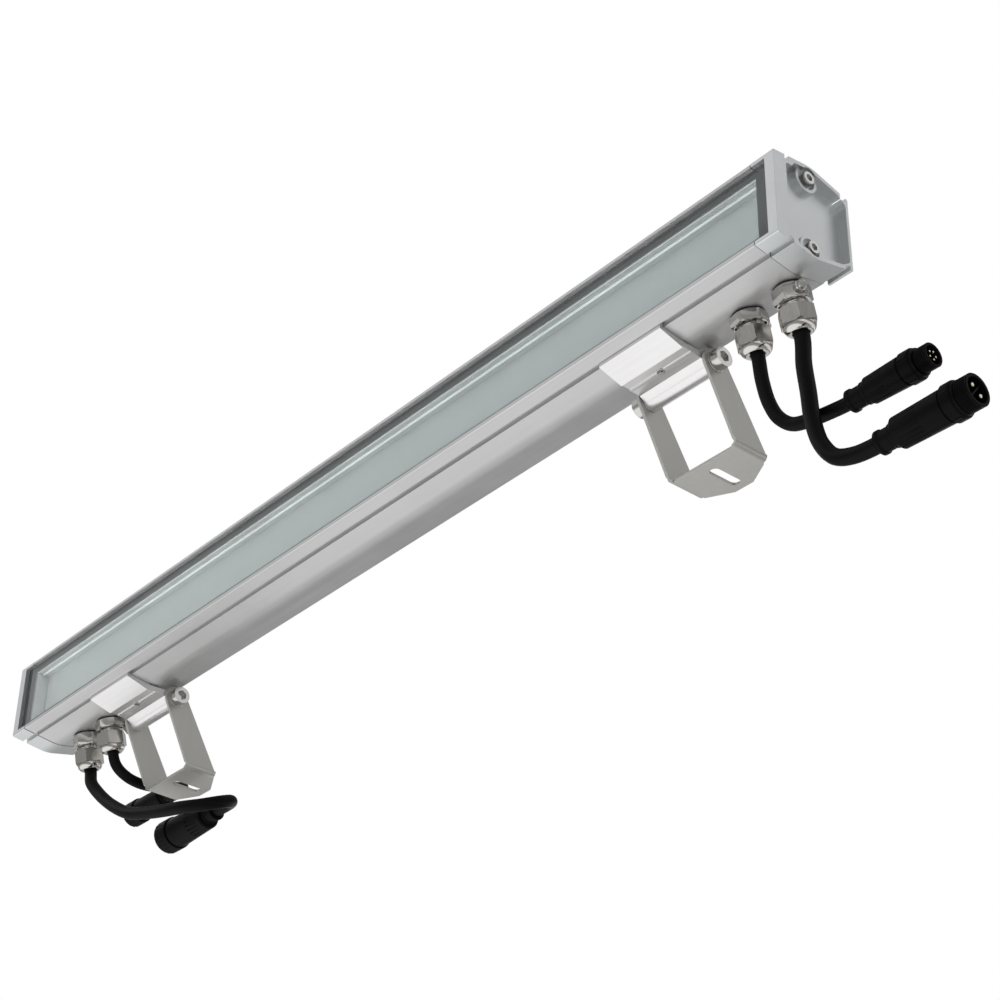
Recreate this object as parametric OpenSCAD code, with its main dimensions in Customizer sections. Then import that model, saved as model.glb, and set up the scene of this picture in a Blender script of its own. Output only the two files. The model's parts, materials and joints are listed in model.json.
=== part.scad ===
// Linear outdoor wall washer light: an extruded housing with a recessed front glass,
// two end caps, two sliding clamps on tilting brackets and four cable tails.
// Modelled in housing axes (X along the light, Y from the front to the back, Z up)
// and drawn with the origin at the slot of the right bracket, on its mounting face.

/* [Housing] */
// Overall length across the end caps
overall_len = 1000; // [800:1:1400]
// Depth from the front rim to the back
housing_depth = 69; // [66:1:80]
// Height of the front rim
front_h = 71; // [68:0.5:76]
// Height at the widest place of the section
belly_h = 80.5; // [79:0.5:86]
// Height of the back
rear_h = 65; // [60:0.5:68]
// Distance of the widest place from the front
belly_y = 37.5; // [34:0.5:42]
// Wall of the extrusion
wall = 2.5; // [2:0.1:3]
// Length of each end cap
cap_len = 21.2; // [20:0.1:30]
// Amount by which an end cap stands proud of the extrusion
cap_proud = 0.4; // [0.2:0.1:1]

/* [Front window] */
// Thickness of the rim around the glass
rim_t = 3; // [2.5:0.1:4]
// Width of the rim at each end of the glass
rim_end_w = 8.5; // [7:0.5:10]
// Depth of the glass face behind the rim
glass_recess = 3.5; // [2.5:0.1:4]
// Thickness of the glass
glass_t = 4; // [3:0.5:4.5]
// Width of the dark border around the window
border_w = 6.5; // [5:0.5:8]

/* [Light engine] */
// Number of light emitting diodes
led_count = 36; // [12:1:40]
// Side of one diode
led_side = 3.5; // [2:0.5:5]
// Radius of one lens cap
optic_r = 9; // [6:0.5:10]

/* [Clamps] */
// Distance of the right clamp's middle from the right end
clamp_right_inset = 156.7; // [155:0.1:250]
// Distance of the left clamp's middle from the left end
clamp_left_inset = 153; // [153:0.1:250]
// Length of a clamp
clamp_len = 63; // [50:1:64]
// Outer diameter of the clamp's pivot tube
tube_d = 16; // [14:0.5:17]
// Size of the clamp's thread for the pivot bolts
bolt_d = 8; // [6:1:8]
// Diameter of a pivot bolt's head
head_d = 16; // [13:0.5:18]
// Height of a pivot bolt's head
head_h = 8; // [5:0.5:8]

/* [Brackets] */
// Thickness of the bracket sheet
sheet_t = 2.5; // [2:0.1:3]
// Width of the bracket sheet at its base
leg_base_w = 31.2; // [28:0.1:34]
// Width of the bracket sheet at its pivot
leg_top_w = 22.6; // [20:0.1:22.6]
// Height of the pivot above the mounting face
pivot_h = 62.8; // [60:0.1:80]
// Lean of the bracket's legs
leg_lean = 28.9; // [20:0.1:32]
// Reach of the tongue beyond the base
tongue_reach = 10.7; // [8:0.1:14]
// Length of the mounting slot
slot_len = 28; // [16:0.5:30]
// Width of the mounting slot
slot_w = 8.5; // [6:0.5:10]

/* [Cable glands] */
// Width of the gland's hexagons across flats
gland_af = 24; // [22:0.5:24]
// Diameter of the gland's thread
gland_thread_d = 20; // [18:0.5:20]
// Distance of the glands from the front
gland_y = 49.5; // [48:0.5:52]
// Diameter of the two power cables
power_d = 11.5; // [9:0.5:12]
// Diameter of the two data cables
data_d = 10; // [8:0.5:10.5]

/* [Connectors] */
// Thread diameter of the large plug
large_thread_d = 23.1; // [22:0.1:25]
// Thread diameter of the small plug
small_thread_d = 17.5; // [16:0.1:18]
// Length of the threaded end of a plug
barrel_len = 10.5; // [8:0.5:14]
// Diameter of the large coupling nut
large_nut_d = 30.6; // [29:0.1:33]
// Diameter of the small coupling nut
small_nut_d = 24.6; // [23:0.1:26]

/* [Hidden] */
$fn = 48;

// One overrun serves every cut, one running clearance every loose fit
over = 1;
fit_gap = 0.1;
loose_gap = 0.3;

// Section of the housing
front_half = front_h / 2;
belly_half = belly_h / 2;
rear_half = rear_h / 2;
edge_r = 1.2;
belly_r = 40;
rear_r = 3;
cavity_r = 1;
half_turn = 180;
slope = atan((belly_half - rear_half) / (housing_depth - belly_y));
groove_y = 11.5;
groove_w = 4;
groove_d = 3;
half_len = overall_len / 2;
gasket_t = 0.6;
gasket_inset = 0.6;
cap_x = half_len - cap_len;
profile_half = cap_x - gasket_t;
clamp_right_x = half_len - clamp_right_inset;
clamp_left_x = clamp_left_inset - half_len;

// Window
seal_t = 1;
ledge_t = 2.9;
pocket_half = front_half - rim_t;
window_half = pocket_half - border_w;
glass_back = glass_recess + glass_t;
ledge_y = glass_back + seal_t;
cavity_y = ledge_y + ledge_t;
glass_half_len = half_len - rim_end_w - loose_gap;
// The thick band behind the grooves ends here
band_end_y = groove_y + groove_w + wall;
band_half = half_height(groove_y) - groove_d - wall;

// Light chamber
channel_t = 1.2;
channel_half = window_half + channel_t;
channel_floor_y = 30.2;
chamber_half_len = profile_half - loose_gap;
board_t = 1.6;
board_half = 20;
board_gap = 2;
board_y = channel_floor_y - channel_t - board_t;
led_t = 2;
optic_h = 4;
optic_neck_share = 0.6;
panel_t = 2.5;
panel_y = board_y - optic_h - loose_gap - panel_t;
led_pitch = 2 * (chamber_half_len - board_gap) / led_count;

// Control gear
tray_t = 1.2;
tray_half = 22;
tray_inset = 18.2;
tray_half_len = profile_half - tray_inset;
gear_y = channel_floor_y + tray_t;
driver_len = 260;
driver_half = 20;
driver_room = 7.1;
driver_h = housing_depth - wall - gear_y - driver_room;
control_len = 150;
control_half = 18;
standoff_h = 4;
standoff_d = 6;
standoff_inset = 5;
chip_side = 12;
chip_t = 2;
terminal_len = 62;
terminal_half = 9;
terminal_h = 14;
terminal_y = gear_y;

// End cap screws
screw_y = 36;
screw_z = 30.5;
screw_d = 6;
screw_head_d = 10;
screw_head_h = 6;
screw_len = 22;
screw_boss_r = 5;
screw_seat = 6.2;
screw_pocket_r = 8;
screw_collar_r = 10.5;
screw_collar_drop = 3.3;
socket_share = 0.58;
socket_depth_share = 0.5;

// End caps: recess in the end face, neck and lip at the back
cap_recess_depth = 8;
cap_recess_front = 1;
cap_rim = 3;
cap_recess_front_r = 2.5;
cap_recess_rear_r = 5;
cap_neck_y = housing_depth - 0.9 * wall;
cap_neck_half = 28.5;
cap_lip_y = housing_depth + wall;
cap_lip_half = 31.8;
cap_lip_t = 2.6;
cap_lip_r = 1;

// Pivot and clamp
pivot_y = 63.2;
pivot_z = -45.9;
tube_r = tube_d / 2;
hook_t = 2.2;
hook_w = groove_w - 2 * loose_gap;
pad_y = 33.8;
clamp_gap = loose_gap;
clamp_base_z = -46;
clamp_recess = 0.9;
ridge_y = 42.7;
ridge_w = 1.6;
slant_y = 52;
slant_share = 0.96;
clamp_top_z = -39.5;
clamp_screw_d = 6;
clamp_screw_len = 7;
bolt_reach = 16;
washer_t = 1;
washer_d = 17;

// Brackets
leg_gap = 0.7;
bracket_half = clamp_len / 2 + leg_gap + sheet_t;
bend_r = 5;
base_z = pivot_z - pivot_h;
base_y = pivot_y + pivot_h * tan(leg_lean);
tongue_inset = 25.7;
slot_offset = 6.7;
slot_y = base_y + slot_offset;

// Glands: place along the housing, cable, length of the base hexagon, gap to the nut, vent angle
washer_gland_t = 1;
locknut_t = 4;
locknut_af = 23;
locknut_land_d = 28;
locknut_room = 12;
nut_hex_h = 13;
nut_dome_h = 5.6;
nut_tip_r = 8.2;
gland_wall = 1.2;
gland_inside = 9;
thread_in_nut = 6;
tail_inside = 16;
vent_boss_d = 9;
vent_boss_reach = 16.5;
vent_head_d = 7;
vent_head_h = 2.5;
vent_margin = 1.2;
power_base_h = 12;
data_base_h = 8.4;
neck_h = 4;
right_data_inset = 76;
right_power_inset = 36;
left_power_inset = 54;
left_data_inset = 94;
right_data_x = half_len - right_data_inset;
right_power_x = half_len - right_power_inset;
left_power_x = left_power_inset - half_len;
left_data_x = left_data_inset - half_len;
right_vent = 25;
rear_vent = 270;
base_hex_turn = 15;
nut_hex_turn = 45;
locknut_turn = 30;

// Connector sizes: [cable, boot, body rear, body front, collar, thread, cavity] diameters
small_plug = [data_d, 16.5, 19.3, 21.2, 22.9, small_thread_d, 13.4];
large_plug = [power_d, 17, 22.2, 23.8, 26.3, large_thread_d, 18];
small_plug_steps = [16.7, 31.3, 11.6];
large_plug_steps = [15.5, 41.7, 10.7];
boot_ring_w = 4;
boot_lip = 1.2;
boot_waist = 2.5;
cavity_depth = 9;
pin_ring_r = 3.2;
pin_d = 1.6;
pin_len = 8.3;
blade_d = 3;
blade_ring_r = 4.4;
small_pin_count = 5;
large_pin_count = 2;
blade_turn = -38;

// The four glands: [place, cable diameter, base height, vent angle, number of wires]
glands = [[right_data_x, data_d, data_base_h, rear_vent, small_pin_count],
    [right_power_x, power_d, power_base_h, right_vent, large_pin_count],
    [left_power_x, power_d, power_base_h, rear_vent, large_pin_count],
    [left_data_x, data_d, data_base_h, rear_vent, small_pin_count]];

// Terminal blocks midway between the glands of their end, and the gear between them
left_terminal_x = (left_power_x + left_data_x) / 2;
right_terminal_x = (right_data_x + right_power_x) / 2;
driver_x = (left_terminal_x + terminal_len / 2) / 2;
control_x = (right_terminal_x - terminal_len / 2) / 2;

// Wires inside the housing
wire_d = 1.2;
wire_pitch = 1.6;
wire_end = (half_height(gland_y) - terminal_half - loose_gap) / cos(slope) - wire_d;

// Coupling nuts
nut_len = 17;
nut_wall = 2;
nut_lip = 2.4;
nut_rib_count = 12;
nut_rib_d = 2.4;
insert_len = 12;
socket_boot_len = 14;
small_socket_len = 72;
large_socket_len = 80;
neck_groove = 1.2;

// Sides of a cable's tube
cable_sides = 10;
// Cable routes, from the gland to the connector, with X counted from the gland
route_right_data = from_gland(right_data_x, [[1, 59, -89], [4, 61, -108], [10, 63, -123],
    [20, 65, -133], [35, 65, -138], [54, 65, -141], [72, 65, -142.5]]);
route_right_power = from_gland(right_power_x, [[2, 56, -100], [6, 54, -126], [9.5, 52, -150],
    [16, 51, -173], [27, 51, -189], [43, 51, -196], [64, 51, -198]]);
route_left_power = from_gland(left_power_x, [[6, 57, -87], [22, 58, -104], [47, 58, -123.5],
    [79, 58, -142.5], [113, 58, -154], [143, 58, -162], [166, 61, -166], [182, 71, -166],
    [188, 85, -161], [183, 99, -154], [167, 108, -148], [145, 110, -146.5]]);
route_left_data = from_gland(left_data_x, [[3, 61, -82], [8, 71, -92], [10, 86, -95],
    [10, 104, -92], [8, 121, -86], [-1, 136, -78], [-15, 144, -72], [-32, 145, -69]]);

// Half height of the section at a depth
function half_height(y) = y <= belly_y
    ? front_half + (belly_half - front_half) * y / belly_y
    : belly_half - (belly_half - rear_half) * (y - belly_y) / (housing_depth - belly_y);

function from_gland(x, points) = [for (p = points) p + [x, 0, 0]];
function unit(v) = v / norm(v);
function flat(c) = [c[0], c[1]];

// Points of one corner q between p and s, rounded by its third number
function corner(p, q, s, steps = 6) =
    q[2] == 0 ? [flat(q)] :
    let (u = unit(flat(p) - flat(q)),
        v = unit(flat(s) - flat(q)),
        half = acos(u * v) / 2,
        centre = flat(q) + unit(u + v) * q[2] / sin(half),
        from = flat(q) + u * q[2] / tan(half) - centre,
        to = flat(q) + v * q[2] / tan(half) - centre,
        start = atan2(from[1], from[0]),
        turn = (atan2(to[1], to[0]) - start + 3 * half_turn) % (2 * half_turn) - half_turn)
    [for (i = [0:steps]) centre + q[2] * [cos(start + turn * i / steps), sin(start + turn * i / steps)]];

function rounded(c) = [for (i = [0:len(c) - 1])
    each corner(c[(i + len(c) - 1) % len(c)], c[i], c[(i + 1) % len(c)])];

// A row of corners followed by its mirror image below
function mirrored(c) = concat(c, [for (i = [len(c) - 1:-1:0]) [c[i][0], -c[i][1], c[i][2]]]);

// Extrudes an outline of Y and Z along X, from one place to another
module along_x(from, to) {
    translate([from, 0, 0]) rotate([90, 0, 90]) linear_extrude(to - from) children();
}

// A cylinder whose axis runs along X
module rod_x(from, to, r) {
    translate([from, 0, 0]) rotate([0, 90, 0]) cylinder(h = to - from, r = r);
}

// Moves to the foot of a gland, with Z pointing out of the sloped underside
module at_gland(x) {
    translate([x, gland_y, -half_height(gland_y)]) rotate([180 + slope, 0, 0]) children();
}

function gland_out(z) = [0, z * sin(slope), -z * cos(slope)];
function gland_tip(x, base_h) =
    [x, gland_y, -half_height(gland_y)]
    + gland_out(washer_gland_t + base_h + neck_h + nut_hex_h + nut_dome_h);

module at_mount() {
    translate([-clamp_right_x, -slot_y, -base_z]) children();
}

// Outer outline of the housing, grown by g on three sides
module body_outline(g) {
    polygon(rounded(mirrored([[0, front_half + g, edge_r], [belly_y, belly_half + g, belly_r],
        [housing_depth + g, rear_half + g, rear_r]])));
}

module groove_outline() {
    for (side = [0, 1]) mirror([0, side]) translate([groove_y, half_height(groove_y) - groove_d])
        square([groove_w, groove_d + wall]);
}

module cavity_outline() {
    polygon(rounded(mirrored([[cavity_y, band_half, 0], [band_end_y, band_half, 0],
        [band_end_y + wall, half_height(band_end_y + wall) - wall, 0],
        [belly_y, belly_half - wall, 0], [housing_depth - wall, rear_half - wall, cavity_r]])));
}

module window_outline(from, to, half) {
    translate([from, -half]) square([to - from, 2 * half]);
}

module housing_profile() {
    color("silver") difference() {
        along_x(-profile_half, profile_half) {
            difference() {
                body_outline(0);
                groove_outline();
                cavity_outline();
                window_outline(-over, ledge_y, pocket_half);
                window_outline(0, cavity_y + over, window_half);
            }
            // Channels along the wall for the end cap screws
            for (side = [-1, 1]) difference() {
                intersection() {
                    body_outline(0);
                    union() {
                        translate([screw_y, side * screw_z]) circle(screw_boss_r);
                        translate([screw_y - screw_boss_r, side > 0 ? screw_z : -belly_half])
                            square([2 * screw_boss_r, belly_half - screw_z]);
                    }
                }
                translate([screw_y, side * screw_z]) circle(d = screw_d);
            }
        }
        for (g = glands) at_gland(g[0]) {
            translate([0, 0, -gland_inside])
                cylinder(h = gland_inside + over, d = gland_thread_d + 2 * fit_gap);
            // Room for the locknut beside the screw channel
            translate([0, 0, -wall - locknut_room]) cylinder(h = locknut_room, d = locknut_land_d);
        }
    }
}

// Outline of an end cap with its neck and lip
module cap_outline() {
    polygon(rounded(mirrored([[0, front_half + cap_proud, edge_r],
        [belly_y, belly_half + cap_proud, belly_r],
        [cap_neck_y, half_height(cap_neck_y) + cap_proud, edge_r],
        [cap_neck_y, cap_neck_half, 0], [cap_lip_y, cap_neck_half, 0],
        [cap_lip_y, cap_lip_half, cap_lip_r], [cap_lip_y + cap_lip_t, cap_lip_half, cap_lip_r]])));
}

module cap_recess_outline() {
    band_z = half_height(groove_y) - groove_d - cap_rim;
    behind_y = groove_y + groove_w + cap_rim;
    polygon(rounded(mirrored([[groove_y + cap_recess_front, band_z, cap_recess_front_r],
        [behind_y, band_z, 0], [behind_y + cap_rim, half_height(behind_y + cap_rim) - cap_rim, 0],
        [belly_y, belly_half - cap_rim, belly_r],
        [cap_neck_y - cap_rim, half_height(cap_neck_y - cap_rim) - cap_rim, 0],
        [cap_lip_y, cap_neck_half - cap_rim, cap_recess_rear_r]])));
}

// Recess in the end face; the collars round the screws are left standing in it
module cap_recess() {
    difference() {
        along_x(half_len - cap_recess_depth, half_len + over) cap_recess_outline();
        for (side = [-1, 1]) translate([0, screw_y, side * screw_z])
            rod_x(half_len - cap_recess_depth - over, half_len - screw_collar_drop, screw_collar_r);
    }
}

// End cap at the +X end; the other one is its mirror image
module end_cap() {
    difference() {
        along_x(cap_x, half_len) cap_outline();
        cap_recess();
        // Pocket for the end of the glass
        along_x(cap_x - over, half_len - rim_end_w) window_outline(-over, ledge_y, pocket_half);
        // The clamp grooves run on round the cap
        along_x(cap_x - over, half_len + over) groove_outline();
        for (side = [-1, 1]) translate([0, screw_y, side * screw_z]) {
            rod_x(cap_x - over, half_len + over, screw_d / 2 + fit_gap);
            rod_x(half_len - screw_seat, half_len + over, screw_pocket_r);
        }
    }
}

module end_cap_right() {
    color("lightsteelblue") end_cap();
}

module end_cap_left() {
    color("lightsteelblue") mirror([1, 0, 0]) end_cap();
}

module cap_gaskets() {
    color("dimgray") for (side = [0, 1]) mirror([side, 0, 0]) along_x(profile_half, cap_x)
        difference() {
            body_outline(-gasket_inset);
            groove_outline();
            cavity_outline();
            window_outline(-over, cavity_y + over, pocket_half);
            for (end = [-1, 1]) translate([screw_y, end * screw_z]) circle(d = screw_d + 2 * fit_gap);
        }
}

// Socket head screw with its head's underside at x = 0, pointing along -X
module socket_screw(d, len, head_d, head_h) {
    difference() {
        union() {
            rod_x(-len, over, d / 2 - fit_gap);
            rod_x(0, head_h, head_d / 2);
        }
        translate([head_h * (1 - socket_depth_share), 0, 0]) rotate([0, 90, 0])
            cylinder(h = head_h, d = head_d * socket_share, $fn = 6);
    }
}

module cap_screws() {
    for (side = [-1, 1]) translate([half_len - screw_seat, screw_y, side * screw_z])
        socket_screw(screw_d, screw_len, screw_head_d, screw_head_h);
}

module cap_screws_right() {
    color("gainsboro") cap_screws();
}

module cap_screws_left() {
    color("gainsboro") mirror([1, 0, 0]) cap_screws();
}

module front_glass() {
    color("lightcyan", 0.5) along_x(-glass_half_len, glass_half_len)
        window_outline(glass_recess, glass_back, pocket_half - loose_gap);
}

module glass_seal() {
    color("dimgray") difference() {
        along_x(-glass_half_len, glass_half_len)
            window_outline(glass_back, ledge_y, pocket_half - loose_gap);
        along_x(-profile_half, profile_half)
            window_outline(glass_back - over, ledge_y + over, window_half);
    }
}

module lens_panel() {
    color("powderblue") along_x(-chamber_half_len, chamber_half_len)
        window_outline(panel_y, panel_y + panel_t, window_half - loose_gap);
}

module light_channel() {
    color("gainsboro") along_x(-chamber_half_len, chamber_half_len) difference() {
        window_outline(cavity_y, channel_floor_y, channel_half);
        window_outline(cavity_y - over, channel_floor_y - channel_t, window_half);
    }
}

module led_boards() {
    color("white") for (side = [0, 1]) mirror([side, 0, 0])
        along_x(board_gap / 2, chamber_half_len - board_gap)
            window_outline(board_y, board_y + board_t, board_half);
}

module at_leds() {
    for (i = [0:led_count - 1]) translate([(i - (led_count - 1) / 2) * led_pitch, board_y, 0]) children();
}

module led_chips() {
    color("khaki") at_leds() translate([-led_side / 2, -led_t, -led_side / 2])
        cube([led_side, led_t, led_side]);
}

// Small lens caps, each with a pocket for its diode
module led_optics() {
    color("azure", 0.6) at_leds() difference() {
        rotate([90, 0, 0]) cylinder(h = optic_h, r1 = optic_r * optic_neck_share, r2 = optic_r);
        translate([-led_side / 2 - loose_gap, -led_t - loose_gap, -led_side / 2 - loose_gap])
            cube([led_side + 2 * loose_gap, led_t + loose_gap + over, led_side + 2 * loose_gap]);
    }
}

module gear_tray() {
    color("lightgray") {
        along_x(-tray_half_len, tray_half_len)
            window_outline(channel_floor_y, gear_y, tray_half);
        for (i = [-1, 1], j = [-1, 1])
            translate([control_x + i * (control_len / 2 - standoff_inset), gear_y - tray_t / 2,
                j * (control_half - standoff_inset)]) rotate([-90, 0, 0])
                cylinder(h = standoff_h + tray_t / 2, d = standoff_d);
    }
}

module led_driver() {
    color("whitesmoke") along_x(driver_x - driver_len / 2, driver_x + driver_len / 2)
        window_outline(gear_y, gear_y + driver_h, driver_half);
}

module control_board() {
    color("seagreen") along_x(control_x - control_len / 2, control_x + control_len / 2)
        window_outline(gear_y + standoff_h, gear_y + standoff_h + board_t, control_half);
    color("dimgray") for (i = [-1:1]) translate([control_x + i * 3 * chip_side - chip_side / 2,
        gear_y + standoff_h + board_t, -chip_side / 2]) cube([chip_side, chip_t, chip_side]);
}

module terminal_blocks() {
    color("ivory") for (x = [left_terminal_x, right_terminal_x])
        along_x(x - terminal_len / 2, x + terminal_len / 2)
        window_outline(terminal_y, terminal_y + terminal_h, terminal_half);
}

// Wires from the inner end of each cable up to the face of its terminal block
module lead_wires() {
    color("firebrick") for (g = glands) at_gland(g[0]) for (i = [0:g[4] - 1])
        translate([(i - (g[4] - 1) / 2) * wire_pitch, 0, -wire_end])
            cylinder(h = wire_end - tail_inside, d = wire_d, $fn = 16);
}

function gland_len(g) = washer_gland_t + g[2] + neck_h + nut_hex_h + nut_dome_h;

module cable_tails() {
    color([0.1, 0.1, 0.1]) for (g = glands) at_gland(g[0])
        translate([0, 0, -tail_inside]) cylinder(h = tail_inside + gland_len(g), d = g[1]);
}

module hexagon(af, h, turn) {
    rotate([0, 0, turn]) cylinder(h = h, d = af / cos(30), $fn = 6);
}

// Threaded body of a gland with its base hexagon and the boss of its vent
module gland_body(g) {
    color("lightgray") at_gland(g[0]) difference() {
        union() {
            translate([0, 0, -gland_inside])
                cylinder(h = gland_inside + washer_gland_t + g[2] + neck_h + thread_in_nut,
                    d = gland_thread_d);
            translate([0, 0, washer_gland_t]) hexagon(gland_af, g[2], base_hex_turn);
            translate([0, 0, washer_gland_t + g[2] / 2]) rotate([0, 90, g[3]])
                cylinder(h = vent_boss_reach, d = min(vent_boss_d, g[2] - vent_margin));
        }
        translate([0, 0, -gland_inside - over])
            cylinder(h = gland_inside + gland_len(g), d = g[1] + 2 * fit_gap);
    }
}

module gland_body_right_data() {
    gland_body(glands[0]);
}

module gland_body_right_power() {
    gland_body(glands[1]);
}

module gland_body_left_power() {
    gland_body(glands[2]);
}

module gland_body_left_data() {
    gland_body(glands[3]);
}

// Domed nut that presses the seal on the cable
module gland_nut(g) {
    color("lightgray") at_gland(g[0]) translate([0, 0, washer_gland_t + g[2] + neck_h]) difference() {
        union() {
            hexagon(gland_af, nut_hex_h, nut_hex_turn);
            translate([0, 0, nut_hex_h - gland_wall])
                cylinder(h = nut_dome_h + gland_wall, r1 = gland_af / 2 - gland_wall / 2, r2 = nut_tip_r);
        }
        translate([0, 0, -over])
            cylinder(h = nut_hex_h - gland_wall + over, d = gland_thread_d + 2 * fit_gap);
        cylinder(h = nut_hex_h + nut_dome_h + over, d = g[1] + 2 * loose_gap);
    }
}

module gland_nut_right_data() {
    gland_nut(glands[0]);
}

module gland_nut_right_power() {
    gland_nut(glands[1]);
}

module gland_nut_left_power() {
    gland_nut(glands[2]);
}

module gland_nut_left_data() {
    gland_nut(glands[3]);
}

// Rubber sleeves inside the nuts
module gland_seals() {
    color("dimgray") for (g = glands) at_gland(g[0])
        translate([0, 0, washer_gland_t + g[2] + neck_h + thread_in_nut]) difference() {
            cylinder(h = nut_hex_h - gland_wall - thread_in_nut, d = gland_thread_d);
            translate([0, 0, -over]) cylinder(h = nut_hex_h + over, d = g[1] + 2 * fit_gap);
        }
}

module gland_washers() {
    color("dimgray") for (g = glands) at_gland(g[0]) difference() {
        cylinder(h = washer_gland_t, d = gland_af);
        translate([0, 0, -over]) cylinder(h = washer_gland_t + 2 * over, d = gland_thread_d + 2 * fit_gap);
    }
}

module gland_locknuts() {
    color("lightgray") for (g = glands) at_gland(g[0])
        translate([0, 0, -wall - locknut_t - loose_gap]) difference() {
            hexagon(locknut_af, locknut_t, locknut_turn);
            translate([0, 0, -over]) cylinder(h = locknut_t + 2 * over, d = gland_thread_d + 2 * fit_gap);
        }
}

module vent_screws() {
    color("gainsboro") for (g = glands) at_gland(g[0])
        translate([0, 0, washer_gland_t + g[2] / 2]) rotate([0, 0, g[3]])
            translate([vent_boss_reach, 0, 0]) difference() {
                rod_x(0, vent_head_h, min(vent_head_d, g[2] - vent_margin) / 2);
                translate([vent_head_h / 2, 0, 0]) rotate([0, 90, 0])
                    cylinder(h = vent_head_h, d = vent_head_d * socket_share, $fn = 6);
            }
}

// Direction in which a tube runs at point i of a route
function heading(p, i, first, last) =
    i == 0 ? first : i == len(p) - 1 ? last : unit(unit(p[i] - p[i - 1]) + unit(p[i + 1] - p[i]));

// Side direction carried along a route without twist
function sides(p, first, last, i = 0, s = [1, 0, 0]) =
    i == len(p) ? [] :
    let (h = heading(p, i, first, last), side = unit(s - (s * h) * h))
    concat([side], sides(p, first, last, i + 1, side));

// A tube swept along the points of a route, from one direction to another
module tube(p, d, first, last, start_side) {
    side = sides(p, first, last, 0, start_side);
    points = [for (i = [0:len(p) - 1]) let (h = heading(p, i, first, last))
        for (k = [0:cable_sides - 1]) let (a = 360 * k / cable_sides)
            p[i] + d / 2 * (cos(a) * side[i] + sin(a) * cross(h, side[i]))];
    n = cable_sides;
    walls = [for (i = [0:len(p) - 2], k = [0:n - 1]) let (m = (k + 1) % n)
        each [[i * n + k, (i + 1) * n + k, i * n + m], [i * n + m, (i + 1) * n + k, (i + 1) * n + m]]];
    caps = [[for (k = [0:n - 1]) k], [for (k = [n - 1:-1:0]) (len(p) - 1) * n + k]];
    polyhedron(points, concat(walls, caps));
}

// A cable from its gland along a route to the boot of its connector
module cable(g, route, last) {
    color([0.1, 0.1, 0.1]) tube(concat([gland_tip(g[0], g[2])], route), g[1],
        unit(gland_out(1)), last, [1, 0, 0]);
}

module cable_right_data() {
    cable(glands[0], route_right_data, [1, 0, 0]);
}

module cable_right_power() {
    cable(glands[1], route_right_power, [1, 0, 0]);
}

module cable_left_power() {
    cable(glands[2], route_left_power, [-1, 0, 0]);
}

module cable_left_data() {
    cable(glands[3], route_left_data, [-1, 0, 0]);
}

function route_end(route) = route[len(route) - 1];

// Boot, body, collar and threaded end of a plug, from the end of its cable along +X
module plug_body(size, steps) {
    collar_x = steps[0] + steps[1];
    barrel_x = collar_x + steps[2];
    color([0.12, 0.12, 0.12]) difference() {
        rotate([0, 90, 0]) {
            cylinder(h = steps[0] - boot_ring_w, d1 = size[0] + boot_lip, d2 = size[1] - boot_waist);
            cylinder(h = boot_ring_w, d = size[1]);
            translate([0, 0, steps[0] - boot_ring_w]) cylinder(h = boot_ring_w, d = size[1]);
            translate([0, 0, steps[0]]) cylinder(h = steps[1] - neck_groove, d1 = size[2], d2 = size[3]);
            translate([0, 0, collar_x - neck_groove]) cylinder(h = neck_groove, d = size[3] - neck_groove);
            translate([0, 0, collar_x]) cylinder(h = steps[2], d = size[4]);
            translate([0, 0, barrel_x]) cylinder(h = barrel_len, d = size[5]);
        }
        rod_x(barrel_x + barrel_len - cavity_depth, barrel_x + barrel_len + over, size[6] / 2);
    }
}

module data_plug_body() {
    translate(route_end(route_right_data)) plug_body(small_plug, small_plug_steps);
}

module power_plug_body() {
    translate(route_end(route_right_power)) plug_body(large_plug, large_plug_steps);
}

// Contact pins standing on the floor of a plug's cavity
module plug_pins(steps, count, ring_r, d, turn = 0) {
    floor_x = steps[0] + steps[1] + steps[2] + barrel_len - cavity_depth;
    color("gold") for (i = [0:count - 1]) rotate([turn + 360 * i / count, 0, 0])
        translate([0, ring_r, 0]) rod_x(floor_x, floor_x + pin_len, d / 2);
}

module data_plug_pins() {
    translate(route_end(route_right_data)) plug_pins(small_plug_steps, small_pin_count, pin_ring_r, pin_d);
}

module power_plug_pins() {
    translate(route_end(route_right_power))
        plug_pins(large_plug_steps, large_pin_count, blade_ring_r, blade_d, blade_turn);
}

// Boot and body of a socket, from the end of its cable along -X; the nut turns on its nose
module socket_body(size, len, nut_d, thread_d) {
    nose_r = thread_d / 2 - fit_gap - nut_wall;
    neck_x = len - nut_len;
    color([0.12, 0.12, 0.12]) mirror([1, 0, 0]) difference() {
        rotate([0, 90, 0]) {
            cylinder(h = socket_boot_len, d = size[1]);
            translate([0, 0, socket_boot_len])
                cylinder(h = neck_x - socket_boot_len - loose_gap,
                    d1 = size[3], d2 = nut_d - 2 * neck_groove);
            translate([0, 0, neck_x - over]) cylinder(h = nut_len / 2 + over, r = nose_r);
        }
        rod_x(neck_x + nut_len / 2 - insert_len / 2, len, nose_r - nut_wall);
    }
}

module power_socket_body() {
    translate(route_end(route_left_power))
        socket_body(large_plug, large_socket_len, large_nut_d, large_thread_d);
}

module data_socket_body() {
    translate(route_end(route_left_data))
        socket_body(small_plug, small_socket_len, small_nut_d, small_thread_d);
}

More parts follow.
